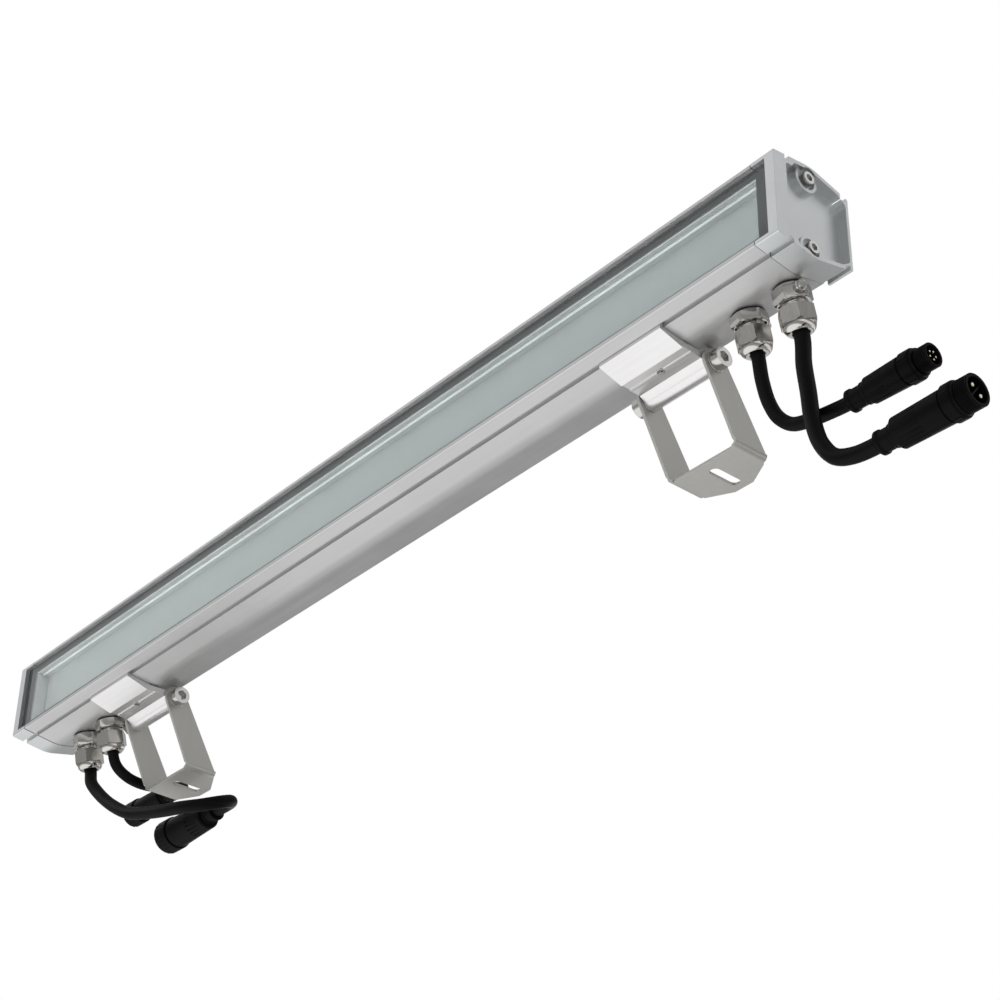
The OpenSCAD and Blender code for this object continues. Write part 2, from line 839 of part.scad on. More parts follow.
// Contact carrier in the nose of a socket, with one hole for each pin
module socket_insert(len, thread_d, count, ring_r, d, turn = 0) {
    carrier_r = thread_d / 2 - fit_gap - 2 * nut_wall - fit_gap;
    carrier_x = len - nut_len / 2 - insert_len / 2;
    color("dimgray") mirror([1, 0, 0]) difference() {
        rod_x(carrier_x, carrier_x + insert_len, carrier_r);
        for (i = [0:count - 1]) rotate([turn + 360 * i / count, 0, 0]) translate([0, ring_r, 0])
            rod_x(carrier_x + insert_len - pin_len, carrier_x + insert_len + over, d / 2 + fit_gap);
    }
}

module power_socket_insert() {
    translate(route_end(route_left_power))
        socket_insert(large_socket_len, large_thread_d, large_pin_count, blade_ring_r, blade_d,
            blade_turn);
}

module data_socket_insert() {
    translate(route_end(route_left_data))
        socket_insert(small_socket_len, small_thread_d, small_pin_count, pin_ring_r, pin_d);
}

// Ribbed coupling nut, held on the nose by its inner lip
module socket_nut(len, nut_d, thread_d) {
    color([0.14, 0.14, 0.14]) mirror([1, 0, 0]) translate([len - nut_len, 0, 0]) difference() {
        rod_x(0, nut_len, nut_d / 2);
        rod_x(nut_lip, nut_len + over, thread_d / 2 + fit_gap);
        rod_x(-over, nut_len, thread_d / 2 - nut_wall);
        for (i = [0:nut_rib_count - 1]) rotate([360 * i / nut_rib_count, 0, 0])
            translate([0, nut_d / 2 + nut_rib_d / 4, 0]) rod_x(nut_len / 3, nut_len + over, nut_rib_d / 2);
    }
}

module power_socket_nut() {
    translate(route_end(route_left_power)) socket_nut(large_socket_len, large_nut_d, large_thread_d);
}

module data_socket_nut() {
    translate(route_end(route_left_data)) socket_nut(small_socket_len, small_nut_d, small_thread_d);
}

// Section of a clamp without its tube: hook in the groove, pads and screw ridge
module clamp_outline() {
    hook_y = groove_y + loose_gap;
    lip_y = hook_y + hook_w;
    hook_z = -half_height(groove_y) + groove_d - clamp_gap;
    lip_z = -half_height(lip_y) - clamp_gap;
    recess_z = clamp_base_z + clamp_recess;
    slant_r = tube_r * slant_share;
    polygon([[hook_y, hook_z], [lip_y, hook_z], [lip_y, lip_z], [belly_y, -belly_half - clamp_gap],
        [pivot_y - tube_r / 2, clamp_top_z], [pivot_y, pivot_z],
        [pivot_y - slant_r * cos(45), pivot_z - slant_r * sin(45)], [slant_y, clamp_base_z],
        [ridge_y + ridge_w, clamp_base_z], [ridge_y + ridge_w, recess_z],
        [ridge_y + ridge_w / 2, recess_z], [ridge_y + ridge_w / 2, clamp_base_z],
        [ridge_y - ridge_w / 2, clamp_base_z], [ridge_y - ridge_w / 2, recess_z],
        [pad_y, recess_z], [pad_y, clamp_base_z], [hook_y, lip_z - hook_t]]);
}

module clamp() {
    difference() {
        union() {
            along_x(-clamp_len / 2, clamp_len / 2) clamp_outline();
            translate([0, pivot_y, pivot_z]) rod_x(-clamp_len / 2, clamp_len / 2, tube_r);
        }
        translate([0, pivot_y, pivot_z]) rod_x(-clamp_len / 2 - over, clamp_len / 2 + over, bolt_d / 2);
        translate([0, ridge_y, clamp_base_z - over])
            cylinder(h = clamp_screw_len + 2 * over, d = clamp_screw_d + 2 * fit_gap);
    }
}

module clamp_right() {
    color("silver") translate([clamp_right_x, 0, 0]) clamp();
}

module clamp_left() {
    color("silver") translate([clamp_left_x, 0, 0]) clamp();
}

// Hexagon socket set screw through the clamp
module clamp_screw() {
    translate([0, ridge_y, clamp_base_z]) difference() {
        cylinder(h = -half_height(ridge_y - clamp_screw_d / 2) - clamp_gap - clamp_base_z,
            d = clamp_screw_d);
        translate([0, 0, -over]) cylinder(h = clamp_screw_len * socket_depth_share,
            d = clamp_screw_d * socket_share, $fn = 6);
    }
}

module clamp_screw_right() {
    color("dimgray") translate([clamp_right_x, 0, 0]) clamp_screw();
}

module clamp_screw_left() {
    color("dimgray") translate([clamp_left_x, 0, 0]) clamp_screw();
}

// Bent sheet bracket: two leaning legs, a base with a tongue and a slot
module bracket() {
    difference() {
        union() {
            for (side = [0, 1]) mirror([side, 0, 0]) {
                bracket_leg();
                bracket_bend();
            }
            translate([0, base_y, base_z]) linear_extrude(sheet_t) {
                square([2 * (bracket_half - bend_r), leg_base_w], center = true);
                polygon([[tongue_inset - bracket_half, leg_base_w / 2 + tongue_reach],
                    [bracket_half - tongue_inset, leg_base_w / 2 + tongue_reach],
                    [bracket_half - bend_r, leg_base_w / 2], [bend_r - bracket_half, leg_base_w / 2]]);
            }
        }
        for (end = [-1, 1]) translate([0, slot_y + end * (slot_len - slot_w) / 2, base_z - over])
            cylinder(h = sheet_t + 2 * over, d = slot_w);
        translate([-slot_w / 2, slot_y - (slot_len - slot_w) / 2, base_z - over])
            cube([slot_w, slot_len - slot_w, sheet_t + 2 * over]);
    }
}

// Shears the leg outline back by the lean, keeping its sheet upright
module bracket_leg() {
    bend_z = base_z + bend_r;
    back = tan(leg_lean);
    along_x(bracket_half - sheet_t, bracket_half) difference() {
        union() {
            polygon([[base_y - bend_r * back - leg_base_w / 2, bend_z],
                [base_y - bend_r * back + leg_base_w / 2, bend_z],
                [pivot_y + leg_top_w / 2 * cos(leg_lean), pivot_z + leg_top_w / 2 * sin(leg_lean)],
                [pivot_y - leg_top_w / 2 * cos(leg_lean), pivot_z - leg_top_w / 2 * sin(leg_lean)]]);
            translate([pivot_y, pivot_z]) circle(d = leg_top_w);
        }
        translate([pivot_y, pivot_z]) circle(d = bolt_d);
    }
}

// Quarter bend between the base and a leg
module bracket_bend() {
    translate([bracket_half - bend_r, base_y - bend_r * tan(leg_lean) / 2, base_z + bend_r])
        rotate([90, 0, 0]) translate([0, 0, -leg_base_w / 2]) intersection() {
            difference() {
                cylinder(h = leg_base_w, r = bend_r);
                translate([0, 0, -over]) cylinder(h = leg_base_w + 2 * over, r = bend_r - sheet_t);
            }
            translate([0, -bend_r, 0]) cube([bend_r, bend_r, leg_base_w]);
        }
}

module bracket_right() {
    color("darkgray") translate([clamp_right_x, 0, 0]) bracket();
}

module bracket_left() {
    color("darkgray") translate([clamp_left_x, 0, 0]) bracket();
}

// Two pivot bolts of one clamp, one through each leg
module pivot_bolts() {
    for (side = [0, 1]) mirror([side, 0, 0])
        translate([bracket_half + washer_t, pivot_y, pivot_z])
            socket_screw(bolt_d, bolt_reach + sheet_t + washer_t + leg_gap, head_d, head_h);
}

module pivot_bolts_right() {
    color("gainsboro") translate([clamp_right_x, 0, 0]) pivot_bolts();
}

module pivot_bolts_left() {
    color("gainsboro") translate([clamp_left_x, 0, 0]) pivot_bolts();
}

// Outer washers under the bolt heads and inner ones between leg and clamp
module pivot_washers() {
    for (side = [0, 1]) mirror([side, 0, 0]) translate([0, pivot_y, pivot_z]) difference() {
        union() {
            rod_x(bracket_half, bracket_half + washer_t, washer_d / 2);
            rod_x(clamp_len / 2, clamp_len / 2 + leg_gap, tube_r);
        }
        rod_x(0, bracket_half + 2 * washer_t, bolt_d / 2 + fit_gap);
    }
}

module pivot_washers_right() {
    color("silver") translate([clamp_right_x, 0, 0]) pivot_washers();
}

module pivot_washers_left() {
    color("silver") translate([clamp_left_x, 0, 0]) pivot_washers();
}

at_mount() housing_profile();
at_mount() end_cap_right();
at_mount() end_cap_left();
at_mount() cap_gaskets();
at_mount() cap_screws_right();
at_mount() cap_screws_left();
at_mount() front_glass();
at_mount() glass_seal();
at_mount() lens_panel();
at_mount() light_channel();
at_mount() led_boards();
at_mount() led_chips();
at_mount() led_optics();
at_mount() gear_tray();
at_mount() led_driver();
at_mount() control_board();
at_mount() terminal_blocks();
at_mount() lead_wires();
at_mount() cable_tails();
at_mount() gland_body_right_data();
at_mount() gland_body_right_power();
at_mount() gland_body_left_power();
at_mount() gland_body_left_data();
at_mount() gland_nut_right_data();
at_mount() gland_nut_right_power();
at_mount() gland_nut_left_power();
at_mount() gland_nut_left_data();
at_mount() gland_seals();
at_mount() gland_washers();
at_mount() gland_locknuts();
at_mount() vent_screws();
at_mount() cable_right_data();
at_mount() cable_right_power();
at_mount() cable_left_power();
at_mount() cable_left_data();
at_mount() data_plug_body();
at_mount() data_plug_pins();
at_mount() power_plug_body();
at_mount() power_plug_pins();
at_mount() power_socket_body();
at_mount() power_socket_insert();
at_mount() power_socket_nut();
at_mount() data_socket_body();
at_mount() data_socket_insert();
at_mount() data_socket_nut();
at_mount() clamp_right();
at_mount() clamp_left();
at_mount() clamp_screw_right();
at_mount() clamp_screw_left();
at_mount() bracket_right();
at_mount() bracket_left();
at_mount() pivot_bolts_right();
at_mount() pivot_bolts_left();
at_mount() pivot_washers_right();
at_mount() pivot_washers_left();
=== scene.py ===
"""Looks of a linear outdoor wall washer light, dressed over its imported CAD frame.

Sizes are in millimetres in the housing's own axes (X along the light, Y from the glass to the
back, Z up) and become metres in the row frame when a piece is placed.
"""

import json
import logging
import math
from dataclasses import dataclass
from enum import Enum
from typing import Callable, Sequence

import bpy
from mathutils import Matrix, Vector


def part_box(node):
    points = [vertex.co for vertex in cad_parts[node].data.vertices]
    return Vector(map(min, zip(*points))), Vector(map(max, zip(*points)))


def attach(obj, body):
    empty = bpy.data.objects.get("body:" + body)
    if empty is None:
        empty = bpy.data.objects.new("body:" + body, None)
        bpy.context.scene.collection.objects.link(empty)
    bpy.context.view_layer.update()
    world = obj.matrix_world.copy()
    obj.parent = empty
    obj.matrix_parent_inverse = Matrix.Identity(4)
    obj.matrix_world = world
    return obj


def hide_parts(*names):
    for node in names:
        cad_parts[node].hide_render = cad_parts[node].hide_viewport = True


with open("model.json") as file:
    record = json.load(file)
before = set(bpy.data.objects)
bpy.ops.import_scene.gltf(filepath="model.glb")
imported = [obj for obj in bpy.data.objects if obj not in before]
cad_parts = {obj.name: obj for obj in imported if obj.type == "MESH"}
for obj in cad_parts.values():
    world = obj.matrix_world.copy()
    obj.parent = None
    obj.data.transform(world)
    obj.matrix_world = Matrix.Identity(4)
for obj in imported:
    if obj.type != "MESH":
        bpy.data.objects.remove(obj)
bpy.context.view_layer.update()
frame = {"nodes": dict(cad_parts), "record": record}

LOG = logging.getLogger("wall_washer")
MM = 0.001
# Origin of the row frame in the housing's axes, turned round, in millimetres
SHIFT = Vector((-343.3, -104.567, 108.7))
Point = tuple[float, float, float]
Step = tuple[float, float]
SIDES = ("right", "left")
# Middle line of the glands' feet on the belly of the housing, and the belly's slope there
FOOT_Y = 49.5
FOOT_Z = -37.2976
SLOPE_DEG = 13.8226


def place(x: float, y: float, z: float) -> Vector:
    """Returns a point of the housing's axes, in millimetres, as a point of the row frame."""
    return (Vector((x, y, z)) + SHIFT) * MM


class Body(Enum):
    """The CAD body that the leads ride on."""

    HOUSING = "housing"


class Form(Enum):
    """What a tool does to a piece."""

    CUT = "DIFFERENCE"
    JOIN = "UNION"
    TRIM = "INTERSECT"


class Graph:
    """Adds and joins the nodes of one material or group."""

    def __init__(self, tree: bpy.types.NodeTree) -> None:
        """Starts on an emptied tree.

        Args:
            tree: The node tree to fill.
        """
        self.tree = tree
        self.tree.nodes.clear()

    def add(self, kind: str, **settings: object) -> bpy.types.Node:
        """Adds a node.

        Args:
            kind: The node's type name.
            settings: Its own settings; names that end in _in set an input's value.

        Returns:
            The new node.
        """
        node = self.tree.nodes.new(kind)
        for name, value in settings.items():
            if name.endswith("_in"):
                node.inputs[name[:-3].replace("_", " ")].default_value = value
            else:
                setattr(node, name, value)
        return node

    def join(self, source: bpy.types.NodeSocket, target: bpy.types.NodeSocket) -> None:
        """Links two sockets."""
        self.tree.links.new(source, target)

    def math(self, operation: str, a: object, b: object = 0.5) -> bpy.types.NodeSocket:
        """Adds a math node on sockets or numbers.

        Args:
            operation: The math node's operation.
            a: First value or socket.
            b: Second value or socket.

        Returns:
            The output socket.
        """
        node = self.add("ShaderNodeMath", operation=operation)
        for index, value in enumerate((a, b)):
            if isinstance(value, (int, float)):
                node.inputs[index].default_value = value
            else:
                self.join(value, node.inputs[index])
        return node.outputs[0]

    def spread(self, value: object, low: float, high: float) -> bpy.types.NodeSocket:
        """Maps a mask from 0..1 to low..high.

        Args:
            value: The mask's socket.
            low: Result at 0.
            high: Result at 1.

        Returns:
            The output socket.
        """
        node = self.add("ShaderNodeMapRange")
        node.inputs["To Min"].default_value = low
        node.inputs["To Max"].default_value = high
        self.join(value, node.inputs["Value"])
        return node.outputs["Result"]

    def blend(self, mask: object, first: object, second: object) -> bpy.types.NodeSocket:
        """Mixes two colours by a mask.

        Args:
            mask: Socket of the mask.
            first: Colour at 0, as a socket or three numbers.
            second: Colour at 1, as a socket or three numbers.

        Returns:
            The mixed colour's socket.
        """
        node = self.add("ShaderNodeMix", data_type="RGBA")
        self.join(mask, node.inputs[0])
        for value, socket in ((first, node.inputs[6]), (second, node.inputs[7])):
            if isinstance(value, (tuple, list)):
                socket.default_value = (*value[:3], 1.0)
            else:
                self.join(value, socket)
        return node.outputs[2]


class Effects:
    """Node groups that several finishes share, each built once."""

    @staticmethod
    def group(name: str, inputs: dict[str, tuple[str, object]], outputs: dict[str, str],
              fill: Callable[[Graph, bpy.types.Node, bpy.types.Node], None]) -> bpy.types.NodeTree:
        """Returns a group, built on its first use.

        Args:
            name: The group's name.
            inputs: Socket name to its type and default.
            outputs: Socket name to its type.
            fill: Adds the nodes between the group's input and output.

        Returns:
            The node group.
        """
        if name in bpy.data.node_groups:
            return bpy.data.node_groups[name]
        tree = bpy.data.node_groups.new(name, "ShaderNodeTree")
        for title, (kind, value) in inputs.items():
            socket = tree.interface.new_socket(title, in_out="INPUT", socket_type=kind)
            if value is not None:
                socket.default_value = value
        for title, kind in outputs.items():
            tree.interface.new_socket(title, in_out="OUTPUT", socket_type=kind)
        graph = Graph(tree)
        fill(graph, graph.add("NodeGroupInput"), graph.add("NodeGroupOutput"))
        return tree

    @classmethod
    def grain(cls) -> bpy.types.NodeTree:
        """Returns the group for drawn or brushed lines: a mask of fine stretched streaks."""

        def fill(graph: Graph, source: bpy.types.Node, target: bpy.types.Node) -> None:
            """Streaks of two widths, added into one mask.

            Args:
                graph: The group's graph.
                source: Its input node.
                target: Its output node.
            """
            fine = graph.add("ShaderNodeTexNoise", Scale_in=1.0, Detail_in=2.0, Roughness_in=0.6)
            wide = graph.add("ShaderNodeTexNoise", Scale_in=0.21, Detail_in=1.0, Roughness_in=0.5)
            for noise in (fine, wide):
                graph.join(source.outputs["Vector"], noise.inputs["Vector"])
            both = graph.math("ADD", graph.math("MULTIPLY", fine.outputs["Fac"], 0.6),
                              graph.math("MULTIPLY", wide.outputs["Fac"], 0.4))
            graph.join(graph.spread(both, -0.6, 1.6), target.inputs["Mask"])

        return cls.group("drawn_grain", {"Vector": ("NodeSocketVector", None)},
                         {"Mask": "NodeSocketFloat"}, fill)

    @classmethod
    def mottle(cls) -> bpy.types.NodeTree:
        """Returns the group for slow cloudy variation of handled and weathered surfaces."""

        def fill(graph: Graph, source: bpy.types.Node, target: bpy.types.Node) -> None:
            """Large soft clouds with smaller ones inside them.

            Args:
                graph: The group's graph.
                source: Its input node.
                target: Its output node.
            """
            clouds = graph.add("ShaderNodeTexNoise", Scale_in=14.0, Detail_in=5.0, Roughness_in=0.55)
            graph.join(source.outputs["Vector"], clouds.inputs["Vector"])
            graph.join(graph.spread(clouds.outputs["Fac"], -0.5, 1.5), target.inputs["Mask"])

        return cls.group("soft_mottle", {"Vector": ("NodeSocketVector", None)},
                         {"Mask": "NodeSocketFloat"}, fill)

    @classmethod
    def speckle(cls) -> bpy.types.NodeTree:
        """Returns the group for the fine pitted texture of moulded and blasted surfaces."""

        def fill(graph: Graph, source: bpy.types.Node, target: bpy.types.Node) -> None:
            """Fine cells softened by a finer noise.

            Args:
                graph: The group's graph.
                source: Its input node.
                target: Its output node.
            """
            scaled = graph.add("ShaderNodeVectorMath", operation="SCALE")
            graph.join(source.outputs["Vector"], scaled.inputs[0])
            graph.join(source.outputs["Scale"], scaled.inputs["Scale"])
            pits = graph.add("ShaderNodeTexVoronoi", Scale_in=1.0)
            fine = graph.add("ShaderNodeTexNoise", Scale_in=1.7, Detail_in=3.0)
            for texture in (pits, fine):
                graph.join(scaled.outputs["Vector"], texture.inputs["Vector"])
            both = graph.math("ADD", graph.math("MULTIPLY", pits.outputs["Distance"], 0.5),
                              graph.math("MULTIPLY", fine.outputs["Fac"], 0.5))
            graph.join(both, target.inputs["Mask"])

        return cls.group("fine_speckle", {"Vector": ("NodeSocketVector", None),
                                          "Scale": ("NodeSocketFloat", 900.0)},
                         {"Mask": "NodeSocketFloat"}, fill)


@dataclass(frozen=True)
class Finish:
    """A named surface of the light, with the record's material slot it stands for."""

    name: str
    slot: str
    colour: Point
    roughness: float = 0.4

    def material(self) -> bpy.types.Material:
        """Returns the finish's material, built on its first use."""
        if self.name in bpy.data.materials:
            return bpy.data.materials[self.name]
        made = bpy.data.materials.new(self.name)
        made.use_nodes = True
        made.diffuse_color = (*self.colour, 1.0)
        graph = Graph(made.node_tree)
        shader = graph.add("ShaderNodeBsdfPrincipled")
        out = graph.add("ShaderNodeOutputMaterial")
        graph.join(shader.outputs["BSDF"], out.inputs["Surface"])
        shader.inputs["Base Color"].default_value = (*self.colour, 1.0)
        shader.inputs["Roughness"].default_value = self.roughness
        self.fill(graph, shader)
        return made

    def fill(self, graph: Graph, shader: bpy.types.Node) -> None:
        """Adds the finish's own nodes round the shader."""

    def coordinates(self, graph: Graph, stretch: Point = (1.0, 1.0, 1.0)) -> bpy.types.NodeSocket:
        """Adds object coordinates, stretched along the axes.

        Args:
            graph: The material's graph.
            stretch: Factor along each axis.

        Returns:
            The vector socket.
        """
        coords = graph.add("ShaderNodeTexCoord")
        mapping = graph.add("ShaderNodeMapping", Scale_in=stretch)
        graph.join(coords.outputs["Object"], mapping.inputs["Vector"])
        return mapping.outputs["Vector"]

    def effect(self, graph: Graph, tree: bpy.types.NodeTree, vector: object,
               scale: float | None = None) -> bpy.types.NodeSocket:
        """Places a shared group.

        Args:
            graph: The material's graph.
            tree: The group.
            vector: Its coordinates.
            scale: Its scale, where it has one.

        Returns:
            The group's mask.
        """
        node = graph.add("ShaderNodeGroup", node_tree=tree)
        graph.join(vector, node.inputs["Vector"])
        if scale is not None:
            node.inputs["Scale"].default_value = scale
        return node.outputs["Mask"]

    def relief(self, graph: Graph, shader: bpy.types.Node, height: object, depth: float,
               strength: float = 1.0) -> None:
        """Bumps the surface.

        Args:
            graph: The material's graph.
            shader: The shader that takes the normal.
            height: The height's socket, from 0 to 1.
            depth: Depth of the relief in metres.
            strength: The bump's strength.
        """
        bump = graph.add("ShaderNodeBump", Strength_in=strength, Distance_in=depth)
        graph.join(height, bump.inputs["Height"])
        graph.join(bump.outputs["Normal"], shader.inputs["Normal"])


@dataclass(frozen=True)
class DrawnMetal(Finish):
    """Extruded, rolled or turned metal with fine lines along one direction."""

    metallic: float = 1.0
    stretch: Point = (12.0, 1600.0, 1600.0)
    contrast: float = 0.05
    depth: float = 0.000004
    STREAK_GLOSS = 0.05
    CLOUD_GLOSS = 0.04

    def fill(self, graph: Graph, shader: bpy.types.Node) -> None:
        """Streaks vary the roughness and the relief, and clouds the colour.

        Args:
            graph: The material's graph.
            shader: The shader that it feeds.
        """
        shader.inputs["Metallic"].default_value = self.metallic
        streaks = self.effect(graph, Effects.grain(), self.coordinates(graph, self.stretch))
        clouds = self.effect(graph, Effects.mottle(), self.coordinates(graph))
        low, high = 1.0 - self.contrast, 1.0 + self.contrast
        shade = graph.math("MULTIPLY", graph.spread(streaks, low, high),
                           graph.spread(clouds, low, high))
        tint = graph.add("ShaderNodeVectorMath", operation="SCALE")
        tint.inputs[0].default_value = self.colour
        graph.join(shade, tint.inputs["Scale"])
        graph.join(tint.outputs["Vector"], shader.inputs["Base Color"])
        rough = graph.math("ADD", graph.spread(streaks, -self.STREAK_GLOSS, self.STREAK_GLOSS),
                           graph.spread(clouds, self.roughness - self.CLOUD_GLOSS,
                                        self.roughness + self.CLOUD_GLOSS))
        graph.join(rough, shader.inputs["Roughness"])
        self.relief(graph, shader, streaks, self.depth)


@dataclass(frozen=True)
class BlastedMetal(Finish):
    """Cast or blasted metal, plain in all directions."""

    metallic: float = 1.0
    grit: float = 1400.0
    depth: float = 0.00001
    DARKEST = 0.93
    CLOUD_GLOSS = 0.04

    def fill(self, graph: Graph, shader: bpy.types.Node) -> None:
        """Fine pits give the relief, and clouds the colour and the roughness.

        Args:
            graph: The material's graph.
            shader: The shader that it feeds.
        """
        shader.inputs["Metallic"].default_value = self.metallic
        vector = self.coordinates(graph)
        pits = self.effect(graph, Effects.speckle(), vector, self.grit)
        clouds = self.effect(graph, Effects.mottle(), vector)
        dark = tuple(self.DARKEST * v for v in self.colour)
        graph.join(graph.blend(clouds, dark, self.colour), shader.inputs["Base Color"])
        rough = graph.spread(clouds, self.roughness + self.CLOUD_GLOSS, self.roughness - self.CLOUD_GLOSS)
        graph.join(rough, shader.inputs["Roughness"])
        self.relief(graph, shader, pits, self.depth)


@dataclass(frozen=True)
class Moulded(Finish):
    """Moulded plastic, rubber, paint or a cable's jacket."""

    grit: float = 1100.0
    depth: float = 0.00002
    wear: float = 0.35
    specular: float = 0.5
    PALER = 0.004
    SMOOTHER = 0.06
    ROUGHER = 0.08

    def fill(self, graph: Graph, shader: bpy.types.Node) -> None:
        """Fine pits and slow clouds, with a slightly paler tone where it is handled.

        Args:
            graph: The material's graph.
            shader: The shader that it feeds.
        """
        shader.inputs["Specular IOR Level"].default_value = self.specular
        vector = self.coordinates(graph)
        pits = self.effect(graph, Effects.speckle(), vector, self.grit)
        clouds = self.effect(graph, Effects.mottle(), vector)
        pale = tuple(v * (1.0 + self.wear) + self.PALER for v in self.colour)
        graph.join(graph.blend(clouds, self.colour, pale), shader.inputs["Base Color"])
        rough = graph.spread(clouds, self.roughness - self.SMOOTHER, self.roughness + self.ROUGHER)
        graph.join(rough, shader.inputs["Roughness"])
        self.relief(graph, shader, pits, self.depth)


@dataclass(frozen=True)
class Clear(Finish):
    """Glass or clear plastic, with faint variation in its polish."""

    transmission: float = 1.0
    ior: float = 1.5
    haze: float = 0.02
    DEPTH = 0.000002
    STRENGTH = 0.2

    def fill(self, graph: Graph, shader: bpy.types.Node) -> None:
        """A clear body whose roughness and surface vary very slightly.

        Args:
            graph: The material's graph.
            shader: The shader that it feeds.
        """
        shader.inputs["Transmission Weight"].default_value = self.transmission
        shader.inputs["IOR"].default_value = self.ior
        clouds = self.effect(graph, Effects.mottle(), self.coordinates(graph))
        graph.join(graph.spread(clouds, self.roughness, self.roughness + self.haze),
                   shader.inputs["Roughness"])
        self.relief(graph, shader, clouds, self.DEPTH, self.STRENGTH)
        self.let_light_through(graph, shader)

    def let_light_through(self, graph: Graph, shader: bpy.types.Node) -> None:
        """Makes the body clear for shadow rays, so that what lies behind it is lit.

        Args:
            graph: The material's graph.
            shader: The clear shader.
        """
        out = next(n for n in graph.tree.nodes if n.type == "OUTPUT_MATERIAL")
        path = graph.add("ShaderNodeLightPath")
        clear = graph.add("ShaderNodeBsdfTransparent")
        clear.inputs["Color"].default_value = (*self.colour, 1.0)
        mix = graph.add("ShaderNodeMixShader")
        graph.join(path.outputs["Is Shadow Ray"], mix.inputs[0])
        graph.join(shader.outputs["BSDF"], mix.inputs[1])
        graph.join(clear.outputs["BSDF"], mix.inputs[2])
        graph.join(mix.outputs["Shader"], out.inputs["Surface"])


HOUSING = DrawnMetal("anodised housing", "anodised_aluminium", (0.62, 0.62, 0.62), 0.42, 0.85)
CAP = BlastedMetal("end cap aluminium", "cap_aluminium", (0.70, 0.72, 0.725), 0.38, 0.85)
CLAMP = DrawnMetal("bright clamp extrusion", "clamp_aluminium", (0.82, 0.81, 0.81), 0.34, 0.9)
TRAY = DrawnMetal("mill finish tray", "tray_aluminium", (0.55, 0.55, 0.56), 0.45)
BRACKET = DrawnMetal("satin stainless sheet", "bracket_steel", (0.46, 0.455, 0.43), 0.36, 0.5,
                     (900.0, 900.0, 25.0), 0.04)
FASTENER = DrawnMetal("polished stainless", "stainless_fasteners", (0.62, 0.61, 0.59), 0.2, 1.0,
                      (60.0, 1800.0, 1800.0), 0.06)
NICKEL = DrawnMetal("bright nickel", "nickel", (0.62, 0.60, 0.57), 0.14, 1.0,
                    (900.0, 900.0, 90.0), 0.04, 0.000002)
CONTACT = DrawnMetal("plated contact", "contact_brass", (0.80, 0.72, 0.55), 0.2, 1.0,
                     (90.0, 1500.0, 1500.0), 0.04)
RUBBER = Moulded("black rubber", "black_rubber", (0.010, 0.010, 0.011), 0.6, specular=0.2)
SEAL = Moulded("grey window seal", "grey_seal", (0.17, 0.172, 0.18), 0.55)
JACKET = Moulded("cable jacket", "cable_jacket", (0.002, 0.002, 0.002), 0.42, 900.0, 0.00001,
                 specular=0.06)
CONNECTOR = Moulded("moulded connector", "connector_plastic", (0.002, 0.002, 0.002), 0.36,
                    specular=0.04)
GLASS = Clear("clear front glass", "window_glass", (0.93, 0.97, 0.96), 0.0)
PANEL = Moulded("frosted panel", "frosted_panel", (0.335, 0.36, 0.363), 0.35, 500.0, 0.000004, 0.08)
CHANNEL = Moulded("light channel paint", "channel_paint", (0.30, 0.31, 0.31), 0.4, 1500.0)
# Pale copy of the channel paint: a painted highlight on the edges of the beads in the window
PAINTED_HIGHLIGHT_BEAD = Moulded("bead painted highlight", "channel_paint", (0.78, 0.80, 0.80), 0.35, 1500.0)
WHITE_BOARD = Moulded("white board", "white_board", (0.75, 0.76, 0.75), 0.5)
GREEN_BOARD = Moulded("green board", "green_board", (0.03, 0.17, 0.07), 0.4)
PHOSPHOR = Moulded("diode phosphor", "led_phosphor", (0.75, 0.60, 0.15), 0.4)
OPTIC = Clear("clear lens cap", "clear_optic", (0.95, 0.97, 0.97), 0.02, 1.0, 1.49, 0.02)
DRIVER = Moulded("driver case", "driver_case", (0.62, 0.62, 0.60), 0.5)
TERMINAL = Moulded("terminal block", "terminal_plastic", (0.55, 0.55, 0.48), 0.5)
WIRE = Moulded("wire insulation", "wire_insulation", (0.35, 0.03, 0.02), 0.45)


def dress(piece: bpy.types.Object, finish: Finish) -> None:
    """Gives a piece, new or from the frame, one finish.

    Args:
        piece: The object.
        finish: Its finish.
    """
    if piece.data.materials:
        for slot in piece.material_slots:
            slot.material = finish.material()
    else:
        piece.data.materials.append(finish.material())


